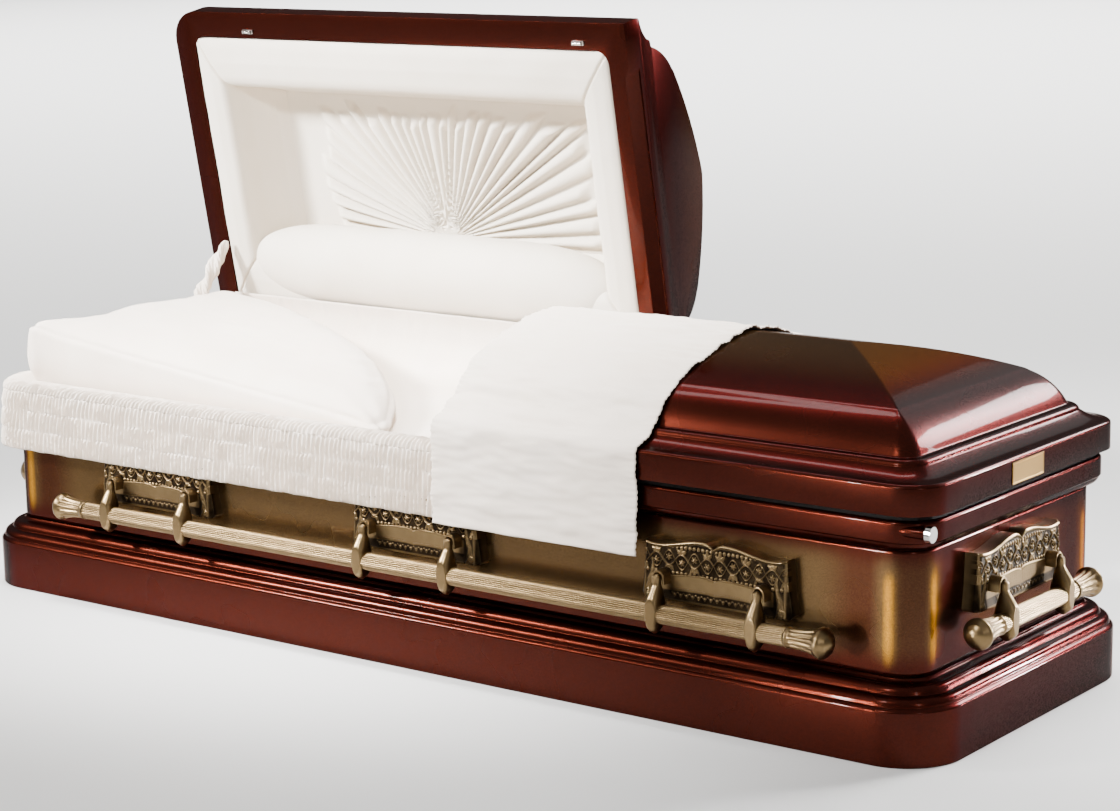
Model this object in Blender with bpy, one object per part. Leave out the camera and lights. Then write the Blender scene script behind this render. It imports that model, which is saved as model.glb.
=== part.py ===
"""Half-couch steel casket with swing-bar handles, head lid open and foot lid closed.

Frame: +X runs to the foot end, -Y to the front, +Z up. The origin is the centre of the underside.
Sections are drawn as (inset, height) pairs. The inset is measured inwards from the plinth's face.
"""
import math

import bmesh
import bpy
from mathutils import Vector

# Overall body
LENGTH = 2.130
WIDTH = 0.710
SHEET = 0.0012
GAP = 0.0003

# Plinth moulding
PLINTH_FACE = 0.094
PLINTH_CORNER = 0.103
PLINTH_EDGE = 0.004
BEAD_RISE = 0.015
BEAD_RUN = 0.014
BEAD_BULGE = 0.22
BEAD_QUIRK = 0.002
COVE_RISE = 0.007
COVE_BULGE = -0.15

# Body panel and its top rim
PANEL_INSET = 0.050
PANEL_CORNER = 0.053
PANEL_TOP = 0.335
RIM_TOP = 0.386
RIM_FACE = 0.0345
RIM_PROUD = 0.021
RIM_LEDGE = 0.028
RIM_ROUND = 0.004
RIM_COVE_BULGE = 0.18

# Lids
SEAM = 0.010
LID_PROUD = 0.0314
LID_CORNER = 0.064
LID_RIM = 0.049
LID_RISE = 0.1955
LID_FLANGE = 0.052
HEADER_FLANGE = 0.044
SPLIT_X = 0.100
SPLIT_GAP = 0.003
HINGE_OUT = 0.0195
HINGE_UP = 0.014
OPEN_DEG = 79.5
RABBET_DEEP = 0.013
RABBET_HIGH = 0.034
RABBET_POINT = 0.045
RABBET_ENDS = 0.058
MOUTH_CORNER = 0.012
CUT_MARGIN = 0.010

# Lid section above its rim: (run, rise) from the rim's face
RIM_SHOULDER = (0.0035, 0.0)
LEDGE = (0.012, 0.0012)
BEAD_FOOT = (0.045, 0.0176)
BEAD_HEAD = (0.058, 0.0274)
ROLL_FOOT = (0.062, 0.0285)
ROLL_HEAD = (0.117, 0.0860)
STEP_TOP = (0.123, 0.0901)
RIDGE_HALF = 0.0044

# Hinges
HINGE_LENGTH = 0.60
BARREL_R = 0.006
LEAF = 0.002
KNUCKLES = 5
KNUCKLE_GAP = 0.0006
LEAF_DROP = 0.026
LEAF_MARGIN = 0.006

# Swing-bar handles, in a frame with the panel's face at y = 0 and outwards along -y
FRONT_CENTRE_X = 0.030
END_CENTRE_Y = -0.020
END_RAISE = 0.010
EAR_PITCH = 0.627
EAR_WIDTH = 0.290
EAR_BOTTOM = 0.201
EAR_TOP = 0.306
EAR_DEPTH = 0.026
EAR_CURL = 0.010
BAND_DEPTH = 0.0025
BAND_LOW = 0.022
BAND_HIGH = 0.046
ARM_SPREAD = 0.096
PIVOT_OUT = 0.049
PIVOT_Z = 0.241
KNUCKLE_R = 0.0075
SOCKET_WALL = 0.005
SOCKET_SKIRT = 0.003
SOCKET_BULGE = 0.62
SLOT_BULGE = 0.74
ARM_DROP = 0.091
ARM_WIDTH = 0.029
ARM_DEPTH = 0.044
ARM_SIDES = 6
BORE_SIDES = 8
BAR_OUT = 0.054
BAR_Z = 0.184
BAR_R = 0.016
REED = 0.0008
REEDED_SIDES = 24
BAR_FRONT = 1.565
BAR_END = 0.250
TIP_LENGTH = 0.084
TIP_FLARE = 0.026
TIP_SIDES = 10

# Small fittings
TUBE_R = 0.009
TUBE_Y = WIDTH / 2 - 0.041
TUBE_OUT = 0.0295
TUBE_LENGTH = 0.055
TUBE_SIDES = 12
TUBE_RAISE = 0.0025
CAP_R = 0.013
CAP_LENGTH = 0.010
CAP_SIDES = 24
KNURL = 0.0008
PLATE_WIDTH = 0.106
PLATE_HEIGHT = 0.036
PLATE_DEPTH = 0.0012
PLATE_Y = -0.011
CATCH = (0.026, 0.009, 0.007)
CATCH_X = (-0.839, -0.010)
CATCH_INSET = 0.057
CATCH_BEVEL = 0.0015
GASKET_INSET = 0.034
GASKET_WIDTH = 0.012

# Bed, pillow and cloth
BED_CLEAR = 0.004
BED_TUBE = 0.025
BED_INSET = 0.020
POST_SIDE = 0.021
SLATS = 5
SLAT_WIDTH = 0.050
SLAT_DEPTH = 0.008
LINING_CLEAR = 0.001
LINING_ROUND = 0.012
MATTRESS_ROUND = 0.013
MATTRESS = 0.064
MATTRESS_DROP = 0.011
LINING = 0.020
LINING_DROP = 0.066
PILLOW_FOOT = -0.075
PILLOW_HEAD_SEAM = 0.500
PILLOW_FOOT_SEAM = 0.402
PILLOW_CROWN = 0.028
PILLOW_CLEAR = 0.006
PILLOW_REAR = 0.200
CLOTH = 0.005
REST = 0.0012
SKIRT_BOTTOM = 0.274
OVERLAY_X = (0.085, 0.513)
OVERLAY_BOTTOM = 0.267
LID_LINING = 0.012
LID_ROLL = 0.085
LID_RECESS = 0.118
RECESS_SLOPE = 0.035
STAY_R = 0.011
STAY_TOP_Y = 0.150
STAY_FOOT_Y = 0.184
STAY_TOP_IN = 0.012
STAY_BOW = 0.012
STAY_POINTS = 7

CORNER_STEPS = 4
SMOOTH_DEG = 32.0

LID_INSET = PANEL_INSET - LID_PROUD
RIM_INSET = PANEL_INSET - RIM_PROUD
SEAT_Z = RIM_TOP + SEAM
HINGE_Y = WIDTH / 2 - LID_INSET + HINGE_OUT
HINGE_Z = SEAT_Z + HINGE_UP
PLINTH_TOP = PLINTH_FACE + 2 * BEAD_RISE + COVE_RISE
RIM_INNER = RIM_INSET + SHEET + RIM_LEDGE + LINING
MATTRESS_TOP = RIM_TOP - MATTRESS_DROP
MATTRESS_BOTTOM = MATTRESS_TOP - MATTRESS


def clear_scene():
    for old in list(bpy.data.objects):
        bpy.data.objects.remove(old)


def material(name, colour, roughness, metallic):
    """A plain Principled material with the piece's colour."""
    found = bpy.data.materials.get(name)
    if found:
        return found
    made = bpy.data.materials.new(name)
    made.use_nodes = True
    shader = made.node_tree.nodes["Principled BSDF"]
    shader.inputs["Base Color"].default_value = (*colour, 1.0)
    shader.inputs["Roughness"].default_value = roughness
    shader.inputs["Metallic"].default_value = metallic
    return made


def copper():
    return material("copper_paint", (0.165, 0.030, 0.016), 0.22, 0.75)


def bronze():
    return material("antique_bronze", (0.260, 0.205, 0.125), 0.36, 0.90)


def cloth():
    return material("ivory_cloth", (0.800, 0.770, 0.720), 0.85, 0.0)


def steel():
    return material("zinc_steel", (0.450, 0.450, 0.450), 0.40, 0.90)


def rubber():
    return material("black_rubber", (0.020, 0.020, 0.020), 0.70, 0.0)


def brass():
    return material("polished_brass", (0.610, 0.430, 0.150), 0.28, 1.0)


def chrome():
    return material("chrome", (0.720, 0.720, 0.720), 0.15, 1.0)


def add_object(name, mesh, paint, parent=None):
    """Link one object for a mesh, with its material and its parent."""
    made = bpy.data.objects.new(name, mesh)
    bpy.context.scene.collection.objects.link(made)
    if not mesh.materials:
        mesh.materials.append(paint)
    made.parent = parent
    return made


def add_empty(name, location, rotation=(0.0, 0.0, 0.0), parent=None):
    made = bpy.data.objects.new(name, None)
    bpy.context.scene.collection.objects.link(made)
    made.location = location
    made.rotation_euler = rotation
    made.parent = parent
    return made


def mesh_from(name, bm, smooth=True):
    """Close a bmesh into a mesh with outward faces and smooth round stretches."""
    bmesh.ops.recalc_face_normals(bm, faces=bm.faces)
    mesh = bpy.data.meshes.new(name)
    bm.to_mesh(mesh)
    bm.free()
    if smooth:
        mesh.shade_smooth()
        mesh.set_sharp_from_angle(angle=math.radians(SMOOTH_DEG))
    return mesh


def loft(name, rings, closed=False, smooth=True):
    """Skin a run of rings with equal point counts; the ends are capped unless the run is closed."""
    bm = bmesh.new()
    rows = [[bm.verts.new(point) for point in ring] for ring in rings]
    pairs = list(zip(rows, rows[1:]))
    if closed:
        pairs.append((rows[-1], rows[0]))
    count = len(rows[0])
    for low, high in pairs:
        for index in range(count):
            after = (index + 1) % count
            bm.faces.new((low[index], low[after], high[after], high[index]))
    if not closed:
        bm.faces.new(rows[0])
        bm.faces.new(rows[-1])
    return mesh_from(name, bm, smooth)


def extrude_outline(name, outline, vector, smooth=False):
    """A prism from a closed outline of 3-D points."""
    far = [Vector(point) + Vector(vector) for point in outline]
    return loft(name, [outline, far], smooth=smooth)


def box(name, low, high):
    (x0, y0, z0), (x1, y1, z1) = low, high
    outline = [(x0, y0, z0), (x1, y0, z0), (x1, y1, z0), (x0, y1, z0)]
    return extrude_outline(name, outline, (0.0, 0.0, z1 - z0))


def cylinder_x(name, radius, x0, x1, sides, reed=0.0):
    """A round bar along x about the local origin; a reed depth draws in every other corner."""
    rings = []
    for x in (x0, x1):
        ring = []
        for index in range(sides):
            turn = math.tau * index / sides
            reach = radius - (reed if index % 2 else 0.0)
            ring.append((x, reach * math.cos(turn), reach * math.sin(turn)))
        rings.append(ring)
    return loft(name, rings)


def combine(target, tool, operation):
    """Cut with or fuse a hidden tool object."""
    tool.hide_render = True
    tool.display_type = "WIRE"
    step = target.modifiers.new(f"{operation.lower()}_{tool.name}", "BOOLEAN")
    step.operation = operation
    step.object = tool
    step.solver = "EXACT"


def arc(start, end, bulge, steps):
    """Points after start up to end on an arc whose rise is bulge times its chord, to the left."""
    (x0, y0), (x1, y1) = start, end
    points = []
    for index in range(1, steps + 1):
        share = index / steps
        rise = 4.0 * bulge * share * (1.0 - share)
        points.append((x0 + (x1 - x0) * share - (y1 - y0) * rise,
                       y0 + (y1 - y0) * share + (x1 - x0) * rise))
    return points


def offset(section, distance):
    """The section moved to its right by a distance, with mitred corners."""
    moved = []
    for index, point in enumerate(section):
        here = Vector(point)
        before = Vector(section[index - 1]) if index else None
        after = Vector(section[index + 1]) if index + 1 < len(section) else None
        runs = []
        if before is not None:
            runs.append((here - before).normalized())
        if after is not None:
            runs.append((after - here).normalized())
        normals = [Vector((run.y, -run.x)) for run in runs]
        mean = sum(normals, Vector((0.0, 0.0))).normalized()
        reach = distance / max(mean.dot(normals[0]), 0.5)
        moved.append(tuple(here + mean * reach))
    return moved


def rounded_outline(half_x, half_y, radius, height, steps=CORNER_STEPS):
    """A rounded rectangle about the origin at one height, counter-clockwise."""
    points = []
    for quarter, (sign_x, sign_y) in enumerate(((1, 1), (-1, 1), (-1, -1), (1, -1))):
        for index in range(steps + 1):
            turn = math.radians(90.0 * (quarter + index / steps))
            points.append((sign_x * (half_x - radius) + radius * math.cos(turn),
                           sign_y * (half_y - radius) + radius * math.sin(turn),
                           height))
    return points


def body_radius(inset):
    """Corner radius of the body at an inset from the plinth's face."""
    slope = (PLINTH_CORNER - PANEL_CORNER) / PANEL_INSET
    if inset <= PANEL_INSET:
        return PLINTH_CORNER - slope * inset
    return max(PANEL_CORNER - (inset - PANEL_INSET), 0.006)


def rim_radius(inset):
    """Corner radius of the rim, tighter than the plinth's, that meets the panel's corner."""
    return max(PANEL_CORNER + 0.6 * (PANEL_INSET - inset), 0.006)


def lid_radius(inset):
    """Corner radius of a lid, which sharpens into the crown's hips."""
    return max(LID_CORNER - 0.5 * (inset - LID_INSET), 0.004)


def ring_at(inset, height, radius_of):
    return rounded_outline(LENGTH / 2 - inset, WIDTH / 2 - inset, radius_of(inset), height)


def swept_ring(name, section, radius_of):
    """A closed moulding: a closed section carried around the body's plan."""
    rings = [ring_at(inset, height, radius_of) for inset, height in section]
    return loft(name, rings, closed=True)


def sheet_ring(name, section, radius_of):
    """A folded sheet carried around the body's plan, one sheet thick."""
    return swept_ring(name, section + offset(section, SHEET)[::-1], radius_of)


def plinth_section():
    """Plinth face, a rounded shoulder, two convex beads and a cove up to the panel."""
    quirk = BEAD_QUIRK / 2
    section = [(PLINTH_EDGE / 2, 0.0), (0.0, PLINTH_EDGE / 2), (0.0, PLINTH_FACE - PLINTH_EDGE)]
    section.append((PLINTH_EDGE, PLINTH_FACE))
    section.append((PLINTH_EDGE + BEAD_QUIRK, PLINTH_FACE + quirk))
    top = (section[-1][0] + BEAD_RUN, section[-1][1] + BEAD_RISE)
    section += arc(section[-1], top, BEAD_BULGE, 3)
    section.append((top[0] + BEAD_QUIRK, top[1] + quirk))
    end = min(section[-1][0] + BEAD_RUN + PLINTH_EDGE, PANEL_INSET - 3 * BEAD_QUIRK)
    top = (end, section[-1][1] + BEAD_RISE - quirk)
    section += arc(section[-1], top, BEAD_BULGE, 3)
    section += arc(top, (PANEL_INSET - GAP, PLINTH_TOP), COVE_BULGE, 2)
    return section


def rim_section():
    """Cove out from the panel, the rim's face and the ledge that the gasket lies on."""
    low = rim_face_bottom()
    section = [(PANEL_INSET, PANEL_TOP + GAP)]
    section += arc(section[0], (RIM_INSET + RIM_ROUND / 2, low), RIM_COVE_BULGE, 2)
    section += [(RIM_INSET, low + RIM_ROUND / 2), (RIM_INSET, RIM_TOP - RIM_ROUND)]
    section += [(RIM_INSET + RIM_ROUND, RIM_TOP), (RIM_INNER, RIM_TOP)]
    return section


def rim_face_bottom():
    return RIM_TOP - RIM_FACE - RIM_ROUND / 2


def lid_section():
    """Rim face, ledge with a cove, small bead, broad roll, step and low crown up to the ridge."""
    def at(point):
        return (LID_INSET + point[0], SEAT_Z + LID_RIM + point[1])
    section = [(LID_INSET, SEAT_Z), (LID_INSET, SEAT_Z + LID_RIM - RIM_SHOULDER[0])]
    section += [at(RIM_SHOULDER), at(LEDGE)]
    section += arc(at(LEDGE), at(BEAD_FOOT), -0.07, 2)
    section += arc(at(BEAD_FOOT), at(BEAD_HEAD), 0.22, 2)
    section.append(at(ROLL_FOOT))
    section += arc(at(ROLL_FOOT), at(ROLL_HEAD), 0.09, 5)
    section.append(at(STEP_TOP))
    section += arc(at(STEP_TOP), (WIDTH / 2 - RIDGE_HALF, SEAT_Z + LID_RISE), 0.035, 4)
    return section


def build_plinth():
    mesh = sheet_ring("base_moulding", plinth_section(), body_radius)
    return add_object("base_moulding", mesh, copper())


def build_bottom():
    """A floor pan with a turned-up edge, flush with the plinth's underside."""
    inset = SHEET + GAP + PLINTH_EDGE
    lip = PLINTH_FACE / 4
    rings = [ring_at(inset, 0.0, body_radius),
             ring_at(inset, lip, body_radius),
             ring_at(inset + SHEET, lip, body_radius),
             ring_at(inset + SHEET, SHEET, body_radius)]
    return add_object("bottom_pan", loft("bottom_pan", rings), copper())


def build_panel():
    """The body's four walls as one folded sheet."""
    section = [(PANEL_INSET, PLINTH_TOP + GAP), (PANEL_INSET, PANEL_TOP)]
    return add_object("body_shell", sheet_ring("body_shell", section, body_radius), copper())


def build_rim():
    """The rim with the memorial tube's boss at its front foot corner."""
    rim = add_object("body_rim", sheet_ring("body_rim", rim_section(), rim_radius), copper())
    end = LENGTH / 2 - TUBE_OUT
    tube = cylinder_x("tube_boss", TUBE_R, end - TUBE_LENGTH, end, TUBE_SIDES)
    boss = add_object("tube_boss", tube, copper())
    boss.location = (0.0, -TUBE_Y, tube_height())
    combine(rim, boss, "UNION")
    return rim


def tube_height():
    return (RIM_TOP + rim_face_bottom()) / 2 + TUBE_RAISE


def build_tube_cap():
    """The knurled screw cap on the memorial tube."""
    start = LENGTH / 2 - TUBE_OUT + GAP
    mesh = cylinder_x("tube_cap", CAP_R, start, start + CAP_LENGTH, CAP_SIDES, KNURL)
    cap = add_object("tube_cap", mesh, chrome())
    cap.location = (0.0, -TUBE_Y, tube_height())
    return cap


def build_gasket():
    """The rubber seal on the ledge, a little lower than the seam."""
    low = RIM_TOP + GAP
    high = SEAT_Z - GAP
    inner = GASKET_INSET + GASKET_WIDTH
    section = [(GASKET_INSET, low), (GASKET_INSET, high), (inner, high), (inner, low)]
    return add_object("lid_gasket", swept_ring("lid_gasket", section, rim_radius), rubber())


def crown_solid(name, section, x_from, x_to, paint, parent):
    """A closed body under a lid section, kept between two planes across the length."""
    mesh = loft(name, [ring_at(inset, height, lid_radius) for inset, height in section])
    bm = bmesh.new()
    bm.from_mesh(mesh)
    for x, sign in ((x_from, -1.0), (x_to, 1.0)):
        if x is None:
            continue
        geometry = bm.verts[:] + bm.edges[:] + bm.faces[:]
        cut = bmesh.ops.bisect_plane(bm, geom=geometry, dist=1e-6, plane_co=(x, 0.0, 0.0),
                                     plane_no=(sign, 0.0, 0.0), clear_outer=True)
        edges = [part for part in cut["geom_cut"] if isinstance(part, bmesh.types.BMEdge)]
        bmesh.ops.holes_fill(bm, edges=edges, sides=0)
    half = mesh_from(name, bm)
    made = add_object(name, half, paint, parent)
    made.location = (0.0, -HINGE_Y, -HINGE_Z)
    return made


def rabbet_prism(name, grow, side, parent):
    """The wedge taken off a header's lower edge, with pointed ends; grow thickens it for the sheet."""
    half = WIDTH / 2 - LID_INSET - RABBET_ENDS + 2 * grow
    face = SPLIT_X + side * SPLIT_GAP / 2

    def ring(deep, height):
        out = face - side * CUT_MARGIN
        back = face + side * deep
        shoulder = half - RABBET_POINT
        return [(out, -half, height), (back, -shoulder, height),
                (back, shoulder, height), (out, half, height)]
    low = ring(RABBET_DEEP + grow, SEAT_Z - CUT_MARGIN)
    high = ring(0.3 * (RABBET_DEEP + grow), SEAT_Z + RABBET_HIGH + grow)
    bm = bmesh.new()
    bm.from_mesh(loft(name, [low, high], smooth=False))
    bmesh.ops.triangulate(bm, faces=bm.faces[:])
    made = add_object(name, mesh_from(name, bm), copper(), parent)
    made.location = (0.0, -HINGE_Y, -HINGE_Z)
    return made


def build_lid(name, side, pivot):
    """One lid: crown, rim, underside flange and header in one sheet. side is -1 head, 1 foot."""
    split = SPLIT_X + side * SPLIT_GAP / 2
    section = lid_section()
    inner = [(inset, height) for inset, height in offset(section, SHEET)]
    inner[0] = (inner[0][0], SEAT_Z + SHEET)
    spans = (None, split) if side < 0 else (split, None)
    outer = crown_solid(name, section, *spans, copper(), pivot)
    inner_split = split + side * SHEET
    spans = (None, inner_split) if side < 0 else (inner_split, None)
    hollow = crown_solid(f"{name}_hollow", inner, *spans, copper(), pivot)
    rabbet = rabbet_prism(f"{name}_rabbet", 0.0, side, pivot)
    thick = rabbet_prism(f"{name}_rabbet_wall", SHEET, side, pivot)
    mouth = flange_mouth(f"{name}_mouth", side, pivot)
    combine(hollow, thick, "DIFFERENCE")
    combine(outer, hollow, "DIFFERENCE")
    combine(outer, rabbet, "DIFFERENCE")
    combine(outer, mouth, "DIFFERENCE")
    return outer


def mouth_limits(side):
    """The x limits and half width of the opening inside a lid's flange."""
    end = side * (LENGTH / 2 - LID_INSET - LID_FLANGE)
    header = SPLIT_X + side * (SPLIT_GAP / 2 + HEADER_FLANGE)
    return min(end, header), max(end, header), WIDTH / 2 - LID_INSET - LID_FLANGE


def placed_outline(side, inset, height, radius):
    """A rounded rectangle inside the flange's opening, at an inset from its edge."""
    low, high, half = mouth_limits(side)
    points = rounded_outline((high - low) / 2 - inset, half - inset, radius, height, 3)
    return [(x + (low + high) / 2, y, z) for x, y, z in points]


def flange_mouth(name, side, pivot):
    """The opening inside a lid's flange, as a cutter."""
    rings = [placed_outline(side, 0.0, SEAT_Z - CUT_MARGIN / 2, MOUTH_CORNER),
             placed_outline(side, 0.0, SEAT_Z + CUT_MARGIN / 2, MOUTH_CORNER)]
    made = add_object(name, loft(name, rings), copper(), pivot)
    made.location = (0.0, -HINGE_Y, -HINGE_Z)
    return made


def lid_lining_section():
    """The lining's closed section as (inset from the opening, height): face first, then its back."""
    deep = SEAT_Z + LID_RECESS
    inner = LID_ROLL + RECESS_SLOPE
    return [(inner + LID_LINING, deep), (inner, deep - 0.008), (LID_ROLL, SEAT_Z + 0.010),
            (0.85 * LID_ROLL, SEAT_Z - 0.003), (0.4 * LID_ROLL, SEAT_Z - 0.005),
            (5 * GAP, SEAT_Z + 0.002), (LID_LINING, SEAT_Z + 0.030),
            (LID_ROLL - LID_LINING, SEAT_Z + 0.040), (inner + 1.3 * LID_LINING, deep + LID_LINING)]


def build_lid_lining(name, side, pivot):
    """The padded tray inside a lid: a roll round the flange's opening and a recessed panel."""
    rings = [placed_outline(side, inset, height, MOUTH_CORNER) for inset, height in lid_lining_section()]
    made = add_object(name, loft(name, rings), cloth(), pivot)
    made.location = (0.0, -HINGE_Y, -HINGE_Z)
    return made


def octagon(radius):
    """Eight points of a barrel about the hinge axis, in (y, z), from its lower side."""
    return [(radius * math.sin(math.tau * step / 8), -radius * math.cos(math.tau * step / 8))
            for step in range(8)]


def leaf_mesh(name, outline, length):
    points = [(-length / 2, y, z) for y, z in outline]
    return extrude_outline(name, points, (length, 0.0, 0.0))


def knuckle_cuts(leaf, name, first, low_yz, parent):
    """Take every other barrel length off a leaf, so that the two leaves interlock."""
    pitch = HINGE_LENGTH / KNUCKLES
    for index in range(first, KNUCKLES, 2):
        start = -HINGE_LENGTH / 2 + index * pitch - KNUCKLE_GAP / 2
        end = start + pitch + KNUCKLE_GAP
        if index == 0:
            start -= CUT_MARGIN
        if index == KNUCKLES - 1:
            end += CUT_MARGIN
        mesh = box(f"{name}_cut_{index}", (start, *low_yz), (end, 3 * BARREL_R, 3 * BARREL_R))
        cutter = add_object(f"{name}_cut_{index}", mesh, steel(), parent)
        cutter.location = leaf.location
        combine(leaf, cutter, "DIFFERENCE")


def build_body_leaf(end, centre_x):
    """The leaf on the body's rim, with its strap out to the barrel."""
    near = WIDTH / 2 - RIM_INSET + GAP - HINGE_Y
    far = near + LEAF
    top = RIM_TOP - RIM_ROUND - 0.001 - HINGE_Z
    barrel = octagon(BARREL_R)
    outline = [(near, top - LEAF_DROP), (far, top - LEAF_DROP), (far, top - LEAF), (-BARREL_R, top),
               *barrel[1:7], (-BARREL_R - LEAF, top + 2 * LEAF), (near, top + LEAF / 2)]
    name = f"{end}_hinge_body_leaf"
    leaf = add_object(name, leaf_mesh(name, outline, HINGE_LENGTH), steel())
    leaf.location = (centre_x, HINGE_Y, HINGE_Z)
    knuckle_cuts(leaf, f"{end}_body", 1, (far + GAP, top - LEAF_DROP), None)


def build_lid_leaf(end, centre_x, pivot):
    """The leaf on the lid's rim, about the lid's axis."""
    near = WIDTH / 2 - LID_INSET + GAP - HINGE_Y
    far = near + LEAF
    low = SEAT_Z - HINGE_Z + 2 * LEAF
    high = SEAT_Z - HINGE_Z + LID_RIM - LEAF_MARGIN
    barrel = octagon(BARREL_R)
    outline = [(near, low), (far, low), (far, -0.8 * LEAF), *barrel[7:], *barrel[0:6], (far, 1.2 * LEAF),
               (far, high), (near, high)]
    name = f"{end}_hinge_lid_leaf"
    leaf = add_object(name, leaf_mesh(name, outline, HINGE_LENGTH), steel(), pivot)
    leaf.location = (centre_x, 0.0, 0.0)
    knuckle_cuts(leaf, f"{end}_lid", 0, (far + GAP, -3 * BARREL_R), pivot)


def build_hinge(end, centre_x, pivot):
    """A long butt hinge on the casket's back."""
    build_body_leaf(end, centre_x)
    build_lid_leaf(end, centre_x, pivot)


def build_catches(pivot):
    """Two small catches on the head lid's front flange."""
    length, width, depth = CATCH
    for number, x in enumerate(CATCH_X, 1):
        y = -(WIDTH / 2 - CATCH_INSET)
        top = SEAT_Z - GAP
        name = f"lid_catch_{number}"
        mesh = box(name, (-length / 2, -width / 2, top - depth), (length / 2, width / 2, top))
        catch = add_object(name, mesh, chrome(), pivot)
        catch.location = (x, y - HINGE_Y, -HINGE_Z)
        bevel = catch.modifiers.new("soft_edges", "BEVEL")
        bevel.width = CATCH_BEVEL
        bevel.segments = 1


def build_nameplate(pivot):
    """The bare plate on the foot lid's end."""
    x = LENGTH / 2 - LID_INSET + GAP
    z = SEAT_Z + (LID_RIM - RIM_SHOULDER[0]) / 2
    mesh = box("nameplate", (x, PLATE_Y - PLATE_WIDTH / 2, z - PLATE_HEIGHT / 2),
               (x + PLATE_DEPTH, PLATE_Y + PLATE_WIDTH / 2, z + PLATE_HEIGHT / 2))
    plate = add_object("nameplate", mesh, brass(), pivot)
    plate.location = (0.0, -HINGE_Y, -HINGE_Z)


def ear_outline(y, grow=0.0):
    """An ear seen from the front: two swelling arcs that meet in a notch, sides that spread to the foot."""
    half = EAR_WIDTH / 2 + grow
    height = EAR_TOP - EAR_BOTTOM
    crest = EAR_TOP + grow
    right = [(0.0, crest - 0.10 * height), (0.06 * half, crest - 0.02 * height)]
    right += arc(right[-1], (0.45 * half, crest - 0.04 * height), 0.10, 2)
    right += arc(right[-1], (0.93 * half, crest - 0.12 * height), -0.06, 2)
    right += [(0.95 * half, EAR_BOTTOM + 0.45 * height), (half, EAR_BOTTOM + 0.05 * height),
              (0.95 * half, EAR_BOTTOM - grow)]
    left = [(-x, z) for x, z in reversed(right[1:])]
    return [(x, y, z) for x, z in right + left]


def ear_mesh():
    """The plaque: it flares back to the panel, with a raised centre field."""
    rings = [ear_outline(-GAP, EAR_CURL * 0.2), ear_outline(-0.35 * EAR_DEPTH, 0.0),
             ear_outline(-EAR_DEPTH, -EAR_CURL * 0.2)]
    return loft("ear", rings, smooth=False)


def socket_mesh():
    """An arched housing that holds an arm's round head on three sides."""
    reach = KNUCKLE_R + SOCKET_WALL
    low = PIVOT_Z - KNUCKLE_R - SOCKET_SKIRT
    arch = [(-reach, low), (-reach, PIVOT_Z)]
    arch += arc(arch[-1], (reach, PIVOT_Z), SOCKET_BULGE, 4)
    arch.append((reach, low))
    outline = [(x, -EAR_DEPTH * 0.5, z) for x, z in arch]
    return extrude_outline("socket", outline, (0.0, -(PIVOT_OUT - EAR_DEPTH * 0.5), 0.0))


def socket_slot_mesh():
    """The clear space round an arm's head."""
    reach = KNUCKLE_R + 2 * GAP
    back = -(PIVOT_OUT - KNUCKLE_R - 2 * GAP)
    low = EAR_BOTTOM - CUT_MARGIN
    slot = [(-reach, low), (-reach, PIVOT_Z)]
    slot += arc(slot[-1], (reach, PIVOT_Z), SLOT_BULGE, 4)
    slot.append((reach, low))
    outline = [(x, back, z) for x, z in slot]
    return extrude_outline("socket_slot", outline, (0.0, -PIVOT_OUT, 0.0))


def band_mesh():
    """The plain band between the arms with the ornament strip's field below it."""
    half = ARM_SPREAD - KNUCKLE_R - SOCKET_WALL - 0.001
    return box("band", (-half, -EAR_DEPTH - BAND_DEPTH, EAR_BOTTOM + BAND_LOW),
               (half, -EAR_DEPTH / 2, EAR_BOTTOM + BAND_HIGH))


def build_ear(name, place, x, shared):
    ear = add_object(name, shared["ear"], bronze(), place)
    ear.location = (x, 0.0, 0.0)
    tools = [("band", shared["band"], 0.0, "UNION")]
    for sign in (-1, 1):
        tools.append(("socket", shared["socket"], sign * ARM_SPREAD, "UNION"))
        tools.append(("slot", shared["slot"], sign * ARM_SPREAD, "DIFFERENCE"))
    for number, (label, mesh, offset_x, operation) in enumerate(tools):
        tool = add_object(f"{name}_{label}_{number}", mesh, bronze(), place)
        tool.location = (x + offset_x, 0.0, 0.0)
        combine(ear, tool, operation)


def arm_mesh():
    """A faceted almond drop with a round head, hanging from the pivot at the local origin."""
    drop = ARM_DROP
    stations = [(0.9 * KNUCKLE_R, 0.26, 0.12, 0.0), (0.45 * KNUCKLE_R, 0.45, 0.30, 0.0),
                (-1.5 * KNUCKLE_R, 0.48, 0.32, 0.0), (-0.45 * drop, 0.92, 0.92, 1.0),
                (-0.76 * drop, 0.84, 0.98, 1.0), (-drop, 0.22, 0.30, 1.0)]
    rings = []
    for height, wide, deep, lean in stations:
        half_x = wide * ARM_WIDTH / 2
        half_y = deep * ARM_DEPTH / 2
        centre = -lean * (BAR_OUT - PIVOT_OUT)
        rings.append([(half_x * math.cos(turn), centre + half_y * math.sin(turn), height)
                      for turn in (math.tau * (step + 0.5) / ARM_SIDES for step in range(ARM_SIDES))])
    return loft("arm", rings)


def build_arm(name, place, x, shared):
    arm = add_object(name, shared["arm"], bronze(), place)
    arm.location = (x, -PIVOT_OUT, PIVOT_Z)
    bore = add_object(f"{name}_bore", shared["bore"], bronze(), place)
    bore.location = (x, -BAR_OUT, BAR_Z)
    combine(arm, bore, "DIFFERENCE")


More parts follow.
